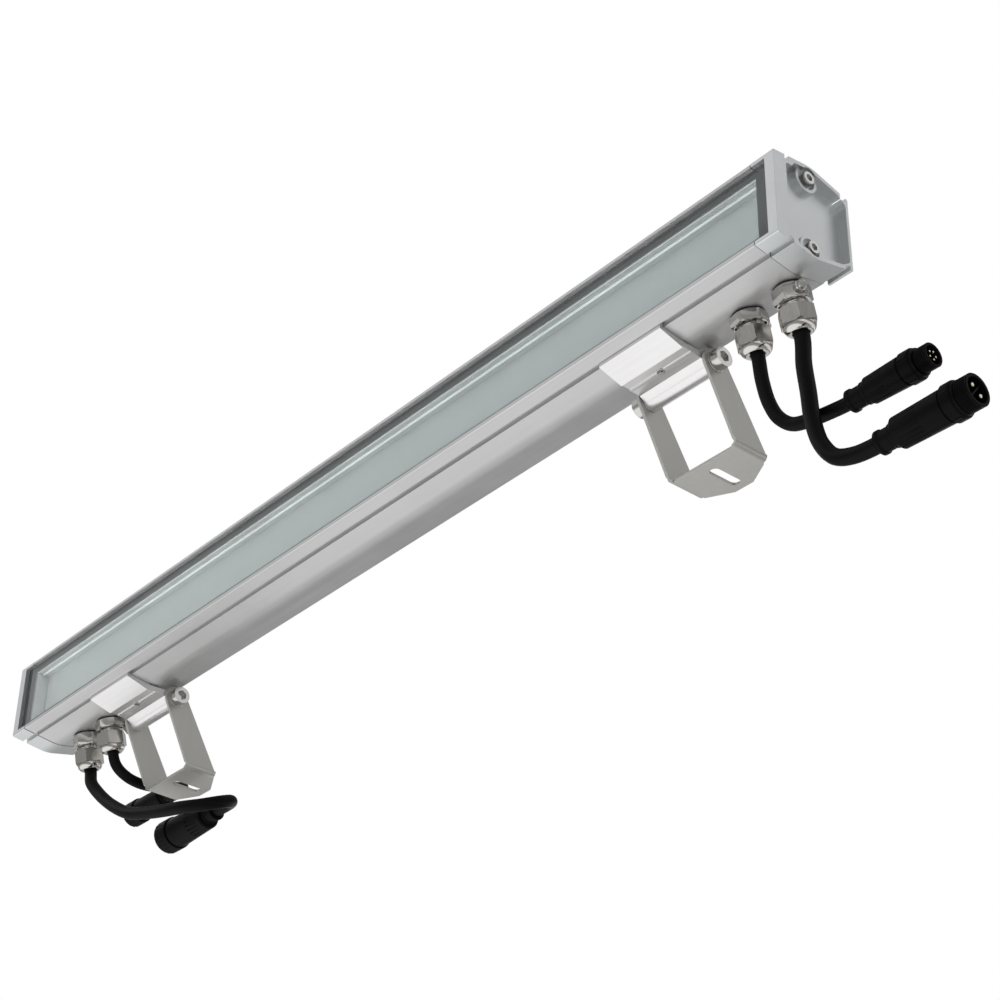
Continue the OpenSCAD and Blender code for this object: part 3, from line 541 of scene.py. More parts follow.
@dataclass
class Studio:
    """Camera, floor, lamps and world."""

    camera_at: Point = (0.9250, -0.97517, -0.8833)
    across: Point = (0.6470, 0.7623, 0.0181)
    forward: Point = (-0.6472, 0.5365, 0.5416)
    lens_mm: float = 80.67
    sensor_mm: float = 36.0
    floor_z: float = -2.8
    floor_half: float = 12.0
    bright_side: Point = (-0.35, -0.25, -0.90)
    sweep: tuple[Step, ...] = (
        (-1.0, 0.40), (-0.8, 0.28), (-0.6, 0.20), (-0.5, 0.30), (-0.28, 0.95), (-0.04, 0.95),
        (0.1, 0.30), (0.17, 0.22), (0.24, 0.34), (0.3, 0.34), (0.6, 0.42), (0.68, 1.05), (0.78, 1.15),
        (1.0, 1.15))
    aim: Point = (-0.3, -0.07, 0.1)
    lamps: tuple[tuple[str, Point, float, float, bool], ...] = (
        ("key", (-1.3, -1.6, -2.3), 2.2, 55.0, False),
        ("front", (0.6, -3.0, 0.3), 2.4, 12.0, False),
        ("end", (2.2, 1.9, 2.1), 2.2, 8.0, True),
        ("top", (-0.9, -0.4, 3.0), 2.4, 20.0, False),
    )

    def build(self) -> None:
        """Builds all of it."""
        scene = bpy.context.scene
        scene.view_settings.view_transform = "Standard"
        self.build_camera(scene)
        self.build_floor()
        for lamp in self.lamps:
            self.build_lamp(*lamp)
        self.build_world(scene)

    def build_camera(self, scene: bpy.types.Scene) -> None:
        """Stands the camera where the photograph was taken.

        Args:
            scene: The scene that it serves.
        """
        forward = Vector(self.forward).normalized()
        across = Vector(self.across)
        across = (across - forward * across.dot(forward)).normalized()
        up = across.cross(forward)
        turn = Matrix((across, up, -forward)).transposed().to_4x4()
        data = bpy.data.cameras.new("camera")
        data.sensor_width = self.sensor_mm
        data.lens = self.lens_mm
        data.clip_start, data.clip_end = 0.05, 60.0
        camera = bpy.data.objects.new("camera", data)
        camera.matrix_world = Matrix.Translation(self.camera_at) @ turn
        scene.collection.objects.link(camera)
        scene.camera = camera
        LOG.info("camera at %s", self.camera_at)

    def build_floor(self) -> None:
        """Lays a plain pale floor well below the light, so that it can be seen from below."""
        bpy.ops.object.select_all(action="DESELECT")
        bpy.ops.mesh.primitive_plane_add(size=2.0 * self.floor_half, location=(0.0, 0.0, self.floor_z))
        floor = bpy.context.object
        floor.name = "floor"
        paint = Moulded("pale floor", "floor", (0.80, 0.80, 0.80), 0.7, 40.0, 0.0005, 0.02)
        floor.data.materials.append(paint.material())
        floor.visible_glossy = floor.visible_diffuse = False

    def build_lamp(self, name: str, at: Point, size: float, power: float, mirrored: bool) -> None:
        """Hangs one large soft lamp.

        Args:
            name: The lamp's name.
            at: Where it hangs.
            size: Its side.
            power: Its power in watts.
            mirrored: Whether it shows in gloss.
        """
        data = bpy.data.lights.new(name, "AREA")
        data.shape, data.size, data.energy = "SQUARE", size, power
        lamp = bpy.data.objects.new(name, data)
        lamp.location = at
        lamp.rotation_euler = (Vector(self.aim) - Vector(at)).to_track_quat("-Z", "Y").to_euler()
        lamp.visible_camera = False
        lamp.visible_glossy = mirrored
        bpy.context.scene.collection.objects.link(lamp)

    def build_world(self, scene: bpy.types.Scene) -> None:
        """A white background, and a soft sweep of paler and darker tones for light and gloss.

        Args:
            scene: The scene that it serves.
        """
        world = bpy.data.worlds.new("studio")
        world.use_nodes = True
        scene.world = world
        graph = Graph(world.node_tree)
        coords = graph.add("ShaderNodeTexCoord")
        toward = graph.add("ShaderNodeVectorMath", operation="DOT_PRODUCT")
        graph.join(coords.outputs["Generated"], toward.inputs[0])
        toward.inputs[1].default_value = Vector(self.bright_side).normalized()
        ramp = graph.add("ShaderNodeValToRGB")
        ramp.color_ramp.interpolation = "EASE"
        stops = ramp.color_ramp.elements
        while len(stops) < len(self.sweep):
            stops.new(0.5)
        for stop, (nearness, level) in zip(stops, self.sweep):
            stop.position = 0.5 + 0.5 * nearness
            stop.color = (level, level, level, 1.0)
        graph.join(graph.math("MULTIPLY_ADD", toward.outputs["Value"], 0.5), ramp.inputs["Fac"])
        path = graph.add("ShaderNodeLightPath")
        seen = graph.math("MAXIMUM", path.outputs["Is Camera Ray"], path.outputs["Is Transmission Ray"])
        back = graph.add("ShaderNodeBackground")
        graph.join(graph.blend(seen, ramp.outputs["Color"], (1.0, 1.0, 1.0)), back.inputs["Color"])
        out = graph.add("ShaderNodeOutputWorld")
        graph.join(back.outputs["Background"], out.inputs["Surface"])


@dataclass
class Lead:
    """A free lead, from its gland's mouth along its route to its connector."""

    name: str
    node: str
    gland_x: float
    base_h: float
    diameter: float
    route: Sequence[Point]
    with_nodes: Sequence[str]
    end_heading: Point
    stack: float = 23.6
    steps: int = 6

    def mouth(self) -> Vector:
        """Returns the mouth of the gland, in the housing's axes."""
        out = self.stack + self.base_h
        slope = math.radians(SLOPE_DEG)
        return Vector((self.gland_x, FOOT_Y + out * math.sin(slope), FOOT_Z - out * math.cos(slope)))

    def heading(self) -> Vector:
        """Returns the direction in which the lead leaves its gland."""
        slope = math.radians(SLOPE_DEG)
        return Vector((0.0, math.sin(slope), -math.cos(slope)))

    def points(self) -> list[Vector]:
        """Returns the points of one smooth line through the route, in the row frame."""
        knots = [self.mouth(), *(Vector(p) for p in self.route)]
        count = len(knots)
        tangents = []
        for i in range(count):
            if i == 0:
                tangents.append(self.heading() * (knots[1] - knots[0]).length)
            elif i == count - 1:
                tangents.append(Vector(self.end_heading) * (knots[-1] - knots[-2]).length)
            else:
                before, after = knots[i] - knots[i - 1], knots[i + 1] - knots[i]
                lean = (before.normalized() + after.normalized()).normalized()
                tangents.append(lean * min(before.length, after.length))
        line = []
        for i in range(count - 1):
            a, b, u, v = knots[i], knots[i + 1], tangents[i], tangents[i + 1]
            for k in range(self.steps):
                t = k / self.steps
                line.append((2 * t**3 - 3 * t**2 + 1) * a + (t**3 - 2 * t**2 + t) * u
                            + (3 * t**2 - 2 * t**3) * b + (t**3 - t**2) * v)
        line.append(knots[-1])
        return [place(*p) for p in line]

    def build(self, made: dict[str, bpy.types.Object]) -> bpy.types.Object:
        """Makes the lead as a curve with a round jacket.

        Args:
            made: The finished pieces, by the CAD node that each stands for; not used.

        Returns:
            The lead.
        """
        line = self.points()
        data = bpy.data.curves.new(self.name, "CURVE")
        data.dimensions = "3D"
        data.bevel_depth = self.diameter / 2 * MM
        data.bevel_resolution = 7
        data.use_fill_caps = True
        spline = data.splines.new("POLY")
        spline.points.add(len(line) - 1)
        for point, at in zip(spline.points, line):
            point.co = (*at, 1.0)
        spline.use_smooth = True
        lead = bpy.data.objects.new(self.name, data)
        bpy.context.scene.collection.objects.link(lead)
        bpy.ops.object.select_all(action="DESELECT")
        lead.select_set(True)
        bpy.context.view_layer.objects.active = lead
        bpy.ops.object.convert(target="MESH")
        bpy.ops.object.shade_smooth()
        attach(lead, Body.HOUSING.value)
        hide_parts(self.node)
        dress(lead, JACKET)
        return lead


LEADS = (
    Lead("lead_right_data", "cable_right_data", 424, 8.4, 10.0,
         [(425, 59, -89), (428, 61, -108), (434, 63, -123), (444, 65, -133), (459, 65, -138),
          (478, 65, -141), (496, 65, -142.5)],
         ["data_plug_body", "data_plug_pins"], (1, 0, 0)),
    Lead("lead_right_power", "cable_right_power", 464, 12.0, 11.5,
         [(466, 56, -100), (470, 54, -126), (473.5, 52, -150), (480, 51, -173), (491, 51, -189),
          (507, 51, -196), (528, 51, -198)],
         ["power_plug_body", "power_plug_pins"], (1, 0, 0)),
    Lead("lead_left_power", "cable_left_power", -446, 12.0, 11.5,
         [(-440, 57, -87), (-424, 58, -104), (-399, 58, -123.5), (-367, 58, -142.5), (-333, 58, -154),
          (-303, 58, -162), (-280, 61, -166), (-264, 71, -166), (-258, 85, -161), (-263, 99, -154),
          (-279, 108, -148), (-301, 110, -146.5)],
         ["power_socket_body", "power_socket_insert", "power_socket_nut"], (-1, 0, 0)),
    Lead("lead_left_data", "cable_left_data", -406, 8.4, 10.0,
         [(-403, 61, -82), (-398, 71, -92), (-396, 86, -95), (-396, 104, -92), (-398, 121, -86),
          (-407, 136, -78), (-421, 144, -72), (-438, 145, -69)],
         ["data_socket_body", "data_socket_insert", "data_socket_nut"], (-1, 0, 0)),
)

# Finish of each CAD node, by its name without its side
CAD_FINISHES: dict[str, Finish] = {
    "housing_profile": HOUSING, "end_cap": CAP, "cap_gaskets": RUBBER, "cap_screws": FASTENER,
    "front_glass": GLASS, "glass_seal": SEAL, "lens_panel": PANEL, "light_channel": CHANNEL,
    "led_boards": WHITE_BOARD, "led_chips": PHOSPHOR, "led_optics": OPTIC, "gear_tray": TRAY,
    "led_driver": DRIVER, "control_board": GREEN_BOARD, "terminal_blocks": TERMINAL,
    "lead_wires": WIRE, "gland_seals": RUBBER, "gland_washers": RUBBER, "vent_screws": FASTENER,
    "data_plug_pins": CONTACT, "power_plug_pins": CONTACT, "clamp": CLAMP, "clamp_screw": FASTENER,
    "bracket": BRACKET, "pivot_bolts": FASTENER, "pivot_washers": FASTENER,
}


def finish_of(node: str) -> Finish:
    """Returns the finish of a CAD node.

    Args:
        node: The node's name.

    Returns:
        Its finish: the table's, or else that of the glands, the connectors or the leads.
    """
    kind = node.removesuffix("_right").removesuffix("_left")
    if kind in CAD_FINISHES:
        return CAD_FINISHES[kind]
    if kind.startswith("gland_"):
        return NICKEL
    return CONNECTOR if "_plug_" in kind or "_socket_" in kind else JACKET


def dress_frame() -> None:
    """Gives every CAD node its finish."""
    for name, node in frame["nodes"].items():
        dress(node, finish_of(name))
    LOG.info("dressed %d nodes", len(frame["nodes"]))


class Bench:
    """Hand tools. Each works on one mesh, and turned work stands on the origin along Z."""

    ROUND_ANGLE = 50.0
    LOOKS_UP = 0.9

    @staticmethod
    def take(piece: bpy.types.Object) -> None:
        """Selects one piece alone and makes it the active one.

        Args:
            piece: The piece.
        """
        bpy.ops.object.select_all(action="DESELECT")
        piece.select_set(True)
        bpy.context.view_layer.objects.active = piece

    @staticmethod
    def settle(piece: bpy.types.Object, at: Matrix) -> bpy.types.Object:
        """Moves a piece to its place and puts the place into its mesh.

        Args:
            piece: The piece.
            at: Its place in the row frame.

        Returns:
            The piece.
        """
        Bench.take(piece)
        piece.matrix_world = at
        bpy.ops.object.transform_apply(location=True, rotation=True, scale=True)
        return piece

    @staticmethod
    def turned(name: str, profile: Sequence[Step], sides: int = 64,
               angle: float = 0.0) -> bpy.types.Object:
        """Turns a solid: a disc is pushed up and resized from step to step.

        Args:
            name: The piece's name.
            profile: Radius and height of each step, in millimetres.
            sides: Sides of the disc.
            angle: Turn of the disc, in degrees.

        Returns:
            The closed solid.
        """
        radius, height = profile[0]
        bpy.ops.object.select_all(action="DESELECT")
        bpy.ops.mesh.primitive_circle_add(vertices=sides, radius=radius * MM, fill_type="NGON",
                                          location=(0.0, 0.0, height * MM),
                                          rotation=(0.0, 0.0, math.radians(angle)))
        piece = bpy.context.object
        piece.name = piece.data.name = name
        bpy.ops.object.mode_set(mode="EDIT")
        bpy.ops.mesh.select_all(action="SELECT")
        for (r, z), (next_r, next_z) in zip(profile, profile[1:]):
            bpy.ops.mesh.extrude_region_move(
                TRANSFORM_OT_translate={"value": (0.0, 0.0, (next_z - z) * MM)})
            if next_r != r:
                bpy.ops.transform.resize(value=(next_r / r, next_r / r, 1.0),
                                         center_override=(0.0, 0.0, next_z * MM))
        bpy.ops.mesh.select_all(action="SELECT")
        bpy.ops.mesh.normals_make_consistent(inside=False)
        bpy.ops.object.mode_set(mode="OBJECT")
        bpy.ops.object.transform_apply(location=True, rotation=True, scale=True)
        return piece

    @staticmethod
    def raise_top(piece: bpy.types.Object, by: float) -> None:
        """Extrudes the faces that look up.

        Args:
            piece: The piece.
            by: The height, in millimetres.
        """
        Bench.take(piece)
        for face in piece.data.polygons:
            face.select = face.normal.z > Bench.LOOKS_UP
        bpy.ops.object.mode_set(mode="EDIT")
        bpy.ops.mesh.select_mode(type="FACE")
        bpy.ops.mesh.extrude_region_move(TRANSFORM_OT_translate={"value": (0.0, 0.0, by * MM)})
        bpy.ops.object.mode_set(mode="OBJECT")

    @staticmethod
    def form(piece: bpy.types.Object, tool: bpy.types.Object, how: Form) -> bpy.types.Object:
        """Cuts, joins or trims a piece with a tool, which is used up.

        Args:
            piece: The piece.
            tool: The other solid.
            how: What the tool does.

        Returns:
            The piece.
        """
        Bench.take(piece)
        step = piece.modifiers.new("form", "BOOLEAN")
        step.operation, step.solver, step.object = how.value, "EXACT", tool
        bpy.ops.object.modifier_apply(modifier=step.name)
        bpy.data.objects.remove(tool, do_unlink=True)
        return piece

    @staticmethod
    def ring(piece: bpy.types.Object, count: int, radius: float) -> bpy.types.Object:
        """Sets copies of a piece round the Z axis and joins them.

        Args:
            piece: The piece, which is used up.
            count: Number of copies.
            radius: Distance from the axis, in millimetres.

        Returns:
            The joined ring.
        """
        copies = []
        for i in range(count):
            copy = bpy.data.objects.new(f"{piece.name}_{i}", piece.data.copy())
            bpy.context.scene.collection.objects.link(copy)
            turn = Matrix.Rotation(2.0 * math.pi * i / count, 4, "Z")
            Bench.settle(copy, turn @ Matrix.Translation((radius * MM, 0.0, 0.0)))
            copies.append(copy)
        bpy.data.objects.remove(piece, do_unlink=True)
        Bench.take(copies[0])
        for copy in copies:
            copy.select_set(True)
        bpy.ops.object.join()
        return bpy.context.object

    @staticmethod
    def ease(piece: bpy.types.Object, width: float, angle: float = 30.0,
             segments: int = 2) -> bpy.types.Object:
        """Breaks the sharp edges with a small round and smooths the rest.

        Args:
            piece: The piece.
            width: Width of the round, in millimetres.
            angle: Edges sharper than this are rounded, in degrees.
            segments: Steps of the round.

        Returns:
            The piece.
        """
        Bench.take(piece)
        smooth = angle
        if width > 0.0:
            step = piece.modifiers.new("ease", "BEVEL")
            step.width, step.segments = width * MM, segments
            step.limit_method, step.angle_limit = "ANGLE", math.radians(angle)
            step.miter_outer = "MITER_ARC"
            bpy.ops.object.modifier_apply(modifier=step.name)
            smooth = max(angle, Bench.ROUND_ANGLE)
        bpy.ops.object.shade_smooth_by_angle(angle=math.radians(smooth))
        step = piece.modifiers.new("even", "WEIGHTED_NORMAL")
        step.keep_sharp = True
        bpy.ops.object.modifier_apply(modifier=step.name)
        return piece


class Shop:
    """Hands finished pieces over to the frame and keeps them by their nodes."""

    WELD = 0.002
    FLAT_DEG = 1.0

    def __init__(self) -> None:
        """Starts with the bodies that the record gives for the nodes."""
        bodies = frame["record"]["behaviour"]["bodies"]
        self.body_of = {node: body for body, nodes in bodies.items() for node in nodes}
        self.made: dict[str, bpy.types.Object] = {}

    def hand_over(self, piece: bpy.types.Object, node: str, finish: Finish | None = None,
                  replaces: bool = True) -> None:
        """Makes a piece ride with its node's body and stand for the node.

        Args:
            piece: The finished piece.
            node: The CAD node that it belongs to.
            finish: Its finish, where it isn't the node's own.
            replaces: Whether it takes the node's place.
        """
        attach(piece, self.body_of[node])
        if replaces:
            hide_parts(node)
            self.made[node] = piece
        dress(piece, finish or finish_of(node))
        LOG.info("%s: %d faces", piece.name, len(piece.data.polygons))

    def refine(self, node: str, width: float, angle: float = 30.0) -> None:
        """Finishes a copy of a CAD node: its faces are merged and its edges broken.

        Args:
            node: The node.
            width: Width of the round on its edges, in millimetres.
            angle: Edges sharper than this are rounded, in degrees.
        """
        piece = bpy.data.objects.new(f"{node}_finished", frame["nodes"][node].data.copy())
        bpy.context.scene.collection.objects.link(piece)
        Bench.take(piece)
        bpy.ops.mesh.customdata_custom_splitnormals_clear()
        bpy.ops.object.mode_set(mode="EDIT")
        bpy.ops.mesh.select_all(action="SELECT")
        bpy.ops.mesh.remove_doubles(threshold=self.WELD * MM)
        bpy.ops.mesh.normals_make_consistent(inside=False)
        bpy.ops.mesh.dissolve_limited(angle_limit=math.radians(self.FLAT_DEG))
        bpy.ops.object.mode_set(mode="OBJECT")
        Bench.ease(piece, width, angle)
        self.hand_over(piece, node)


@dataclass
class Gland:
    """A nickel gland: threaded body, base hexagon with its vent, and domed nut with its seal."""

    key: str
    x: float
    cable: float
    base_h: float
    vent: float
    flats: float = 24.0
    thread: float = 20.0
    washer: float = 1.0
    neck: float = 4.0
    nut_h: float = 13.0
    dome: float = 5.6
    tip_r: float = 8.2
    inside: float = 9.0
    boss_reach: float = 16.5

    def at(self) -> Matrix:
        """Returns the gland's foot on the housing, with Z pointing out."""
        return (Matrix.Translation(place(self.x, FOOT_Y, FOOT_Z))
                @ Matrix.Rotation(math.radians(180.0 + SLOPE_DEG), 4, "X"))

    def hexagon(self, name: str, low: float, high: float, angle: float) -> bpy.types.Object:
        """Makes a hexagon whose corners are turned down at both ends.

        Args:
            name: The piece's name.
            low: Its lower end.
            high: Its upper end.
            angle: Its turn in degrees.

        Returns:
            The hexagon.
        """
        corner = self.flats / 2.0 / math.cos(math.radians(30.0))
        hexagon = Bench.turned(name, [(corner, low), (corner, high)], 6, angle)
        inner, fall = self.flats / 2.0 - 0.1, 1.1
        barrel = Bench.turned("barrel", [(inner, low - 0.01), (corner + 0.1, low + fall),
                                         (corner + 0.1, high - fall), (inner, high + 0.01)], 96)
        return Bench.form(hexagon, barrel, Form.TRIM)

    def rings(self, low: float, high: float, radius: float, pitch: float,
              depth: float) -> list[Step]:
        """Returns the steps of a thread's crests and roots.

        Args:
            low: Its lower end.
            high: Its upper end.
            radius: Radius of the crests.
            pitch: Height of one turn.
            depth: Depth of the roots.

        Returns:
            Radius and height of each step.
        """
        steps = []
        for i in range(int((high - low) / pitch)):
            z = low + i * pitch
            steps += [(radius - depth, z), (radius - depth, z + 0.2 * pitch),
                      (radius, z + 0.45 * pitch), (radius, z + 0.7 * pitch)]
        return steps

    def build(self, shop: Shop) -> None:
        """Makes the gland's pieces.

        Args:
            shop: Takes the finished pieces.
        """
        bore = self.cable / 2.0 + 0.1
        base_top = self.washer + self.base_h
        nut_low = base_top + self.neck
        r = self.thread / 2.0
        body = self.hexagon(f"gland_body_{self.key}_finished", self.washer, base_top, 45.0)
        stem = Bench.turned("stem", [(r - 0.6, -self.inside), (r, 0.6 - self.inside), (r, base_top),
                                     *self.rings(base_top, nut_low + 6.0, r, 1.2, 0.55),
                                     (r - 0.6, nut_low + 6.0)], 72)
        Bench.form(body, stem, Form.JOIN)
        boss_r = min(9.0, self.base_h - 1.2) / 2.0
        boss = Bench.turned("boss", [(boss_r, 0.0), (boss_r, self.boss_reach - 1.0),
                                     (boss_r - 0.35, self.boss_reach - 0.3),
                                     (boss_r - 0.8, self.boss_reach)], 48)
        Bench.settle(boss, Matrix.Translation((0.0, 0.0, (self.washer + self.base_h / 2.0) * MM))
                     @ Matrix.Rotation(math.radians(self.vent), 4, "Z")
                     @ Matrix.Rotation(math.radians(90.0), 4, "Y"))
        Bench.form(body, boss, Form.JOIN)
        hole = Bench.turned("hole", [(bore, -self.inside - 1.0), (bore, nut_low + 8.0)], 48)
        Bench.form(body, hole, Form.CUT)
        Bench.ease(body, 0.18, 25.0)
        shop.hand_over(Bench.settle(body, self.at()), f"gland_body_{self.key}")

        top = nut_low + self.nut_h
        nut = self.hexagon(f"gland_nut_{self.key}_finished", nut_low, top, 15.0)
        tip = top + self.dome
        dome = Bench.turned("dome", [(11.2, top - 0.6), (11.2, top + 0.5), (11.55, top + 0.8),
                                     (11.4, top + 2.0), (10.9, top + 3.2), (10.0, top + 4.4),
                                     (9.0, top + 5.2), (self.tip_r, tip), (bore + 1.0, tip)], 96)
        Bench.form(nut, dome, Form.JOIN)
        room = Bench.turned("room", [(r + 0.1, nut_low - 1.0), (r + 0.1, top - 1.2),
                                     (bore + 0.6, top - 1.2), (bore + 0.6, tip + 1.0)], 64)
        Bench.form(nut, room, Form.CUT)
        Bench.ease(nut, 0.2, 25.0)
        shop.hand_over(Bench.settle(nut, self.at()), f"gland_nut_{self.key}")

        seal = Bench.turned(f"gland_mouth_seal_{self.key}",
                            [(bore + 0.5, top), (bore + 0.5, tip - 0.9), (bore + 0.2, tip - 0.25),
                             (bore - 0.1, tip - 0.2)], 48)
        hole = Bench.turned("hole", [(bore - 0.05, top - 1.0), (bore - 0.05, tip + 1.0)], 48)
        Bench.form(seal, hole, Form.CUT)
        Bench.ease(seal, 0.0)
        shop.hand_over(Bench.settle(seal, self.at()), "gland_seals", RUBBER, False)


GLANDS = (
    Gland("right_data", x=424.0, cable=10.0, base_h=8.4, vent=270.0),
    Gland("right_power", x=464.0, cable=11.5, base_h=12.0, vent=25.0),
    Gland("left_power", x=-446.0, cable=11.5, base_h=12.0, vent=270.0),
    Gland("left_data", x=-406.0, cable=10.0, base_h=8.4, vent=270.0),
)


@dataclass
class Plug:
    """A moulded plug: ringed boot, fluted body, collar and threaded end with its cavity."""

    node: str
    at_point: Point
    cable: float
    boot: float
    rear: float
    front: float
    collar: float
    thread: float
    cavity: float
    boot_len: float
    body_len: float
    collar_len: float
    flutes: int
    rib: bool = False
    barrel: float = 10.5
    cavity_depth: float = 9.0
    rib_turn: float = -38.0
    PITCH = 1.3
    TURNS = 6
    FLUTE_MIDDLE = 0.3

    def profile(self) -> list[Step]:
        """Returns the turned outline, from the cable's end to the floor of the cavity."""
        boot_r, rear_r, front_r = self.boot / 2.0, self.rear / 2.0, self.front / 2.0
        collar_r, thread_r, cavity_r = self.collar / 2.0, self.thread / 2.0, self.cavity / 2.0
        neck = self.boot_len + self.body_len
        foot = neck + self.collar_len
        end = foot + self.barrel
        steps = [(self.cable / 2.0 + 0.15, 0.0), (boot_r - 0.9, 0.0), (boot_r, 0.9), (boot_r, 3.3),
                 (boot_r - 0.6, 4.2), (boot_r - 0.9, 4.8), (boot_r - 0.8, self.boot_len - 4.6),
                 (boot_r - 0.3, self.boot_len - 3.9), (boot_r, self.boot_len - 3.4),
                 (boot_r, self.boot_len - 0.4), (rear_r - 0.9, self.boot_len),
                 (rear_r, self.boot_len + 1.1), (front_r, neck - 2.4), (front_r - 0.2, neck - 1.5),
                 (front_r - 0.8, neck - 1.3), (front_r - 0.8, neck - 0.1), (collar_r - 0.8, neck),
                 (collar_r, neck + 0.8), (collar_r, foot - 3.4), (collar_r - 0.4, foot - 2.5),
                 (collar_r - 1.2, foot - 1.9), (collar_r - 1.4, foot - 0.2),
                 (thread_r - 0.5, foot)]
        for i in range(self.TURNS):
            z = foot + 0.3 + i * self.PITCH
            steps += [(thread_r - 0.5, z), (thread_r, z + 0.45), (thread_r, z + 0.85)]
        steps += [(thread_r - 0.5, end - 2.2), (thread_r, end - 1.6), (thread_r, end - 0.5),
                  (thread_r - 0.4, end), (cavity_r + 0.5, end), (cavity_r, end - 0.5),
                  (cavity_r, end - self.cavity_depth)]
        return steps

    def at(self) -> Matrix:
        """Returns the end of the cable, with Z pointing along the plug."""
        return Matrix.Translation(place(*self.at_point)) @ Matrix.Rotation(math.radians(90.0), 4, "Y")

    def build(self, shop: Shop) -> None:
        """Makes the plug's body.

        Args:
            shop: Takes the finished pieces.
        """
        body = Bench.turned(f"{self.node}_finished", self.profile(), 72)
        start, stop = self.boot_len + 2.5, self.boot_len + 0.55 * self.body_len
        mean = (self.rear + self.FLUTE_MIDDLE * (self.front - self.rear)) / 2.0
        flute = Bench.turned("flute", [(0.2, start), (0.75, start + 0.8), (0.75, stop - 0.8),
                                       (0.2, stop)], 10)
        Bench.form(body, Bench.ring(flute, self.flutes, mean + 0.42), Form.CUT)
        neck = self.boot_len + self.body_len
        tooth = Bench.turned("tooth", [(0.9, neck + 1.2), (0.9, neck + self.collar_len - 3.6)], 8)
        Bench.form(body, Bench.ring(tooth, 4, self.collar / 2.0 - 0.35), Form.JOIN)
        if self.rib:
            self.add_rib(body)
        Bench.ease(body, 0.0, 28.0)
        shop.hand_over(Bench.settle(body, self.at()), self.node)

    def add_rib(self, body: bpy.types.Object) -> None:
        """Stands a thin rib between the two contacts on the floor of the cavity.

        Args:
            body: The plug's body, which the rib becomes a part of.
        """
        low = self.boot_len + self.body_len + self.collar_len + self.barrel - self.cavity_depth - 0.5
        bpy.ops.object.select_all(action="DESELECT")
        bpy.ops.mesh.primitive_cube_add(size=MM, location=(0.0, 0.0, low * MM))
        rib = bpy.context.object
        bpy.ops.object.mode_set(mode="EDIT")
        bpy.ops.mesh.select_all(action="SELECT")
        bpy.ops.transform.resize(value=(self.cavity + 0.6, 1.1, 1.0),
                                 center_override=(0.0, 0.0, low * MM))
        bpy.ops.object.mode_set(mode="OBJECT")
        Bench.raise_top(rib, self.cavity_depth - 2.2)
        rib.rotation_euler.z = math.radians(self.rib_turn)
        Bench.form(body, rib, Form.JOIN)


@dataclass
class Socket:
    """A moulded socket: boot, tapered body and nose, with its coupling nut and contact carrier."""

    key: str
    at_point: Point
    length: float
    cable: float
    boot: float
    front: float
    nut: float
    thread: float
    ribs: int
    boot_len: float = 14.0
    nut_len: float = 17.0

    def at(self) -> Matrix:
        """Returns the end of the cable, with Z pointing along the socket."""
        return Matrix.Translation(place(*self.at_point)) @ Matrix.Rotation(math.radians(-90.0), 4, "Y")

    def build(self, shop: Shop) -> None:
        """Makes the socket's body and its nut.

        Args:
            shop: Takes the finished pieces.
        """
        boot_r, front_r, nut_r = self.boot / 2.0, self.front / 2.0, self.nut / 2.0
        nose_r, neck = self.thread / 2.0 - 2.1, self.length - self.nut_len
        wide = nut_r - 1.2
        body = Bench.turned(f"{self.key}_socket_body_finished", [
            (self.cable / 2.0 + 0.15, 0.0), (boot_r - 0.9, 0.0), (boot_r, 0.9), (boot_r, 3.3),
            (boot_r - 0.8, 4.2), (boot_r - 1.4, 4.8), (boot_r - 1.2, self.boot_len - 3.6),
            (boot_r, self.boot_len - 2.6), (boot_r, self.boot_len - 0.3), (front_r - 1.0, self.boot_len),
            (front_r, self.boot_len + 1.2), (wide, neck - 2.6), (wide, neck - 1.2),
            (wide - 0.5, neck - 0.35), (nose_r, neck - 0.3), (nose_r, neck + 8.5),
            (nose_r - 2.0, neck + 8.5), (nose_r - 2.0, neck + 2.5)], 72)
        flute = Bench.turned("flute", [(0.2, self.boot_len + 4.0), (0.8, self.boot_len + 5.0),
                                       (0.8, self.boot_len + 20.0), (0.2, self.boot_len + 21.0)], 10)
        Bench.form(body, Bench.ring(flute, self.ribs, front_r + 0.65), Form.CUT)
        Bench.ease(body, 0.0, 28.0)
        shop.hand_over(Bench.settle(body, self.at()), f"{self.key}_socket_body")

        nut = Bench.turned(f"{self.key}_socket_nut_finished", [
            (nut_r - 1.0, 0.0), (nut_r - 0.3, 0.4), (nut_r, 1.2), (nut_r, self.nut_len - 1.0),
            (nut_r - 0.5, self.nut_len - 0.3), (nut_r - 1.1, self.nut_len)], 96)
        cutter = Bench.turned("cutter", [(0.3, 3.6), (1.25, 4.8), (1.25, self.nut_len + 1.0)], 12)
        Bench.form(nut, Bench.ring(cutter, self.ribs, nut_r + 0.7), Form.CUT)
        bore = Bench.turned("bore", [(self.thread / 2.0 + 0.1, 2.4),
                                     (self.thread / 2.0 + 0.1, self.nut_len - 0.5),
                                     (self.thread / 2.0 + 0.6, self.nut_len + 0.1)], 72)
        Bench.form(nut, bore, Form.CUT)
        hole = Bench.turned("hole", [(nose_r + 0.1, -1.0), (nose_r + 0.1, 4.0)], 72)
        Bench.form(nut, hole, Form.CUT)
        Bench.ease(nut, 0.2, 30.0)
        lift = Matrix.Translation((0.0, 0.0, neck * MM))
        shop.hand_over(Bench.settle(nut, self.at() @ lift), f"{self.key}_socket_nut")


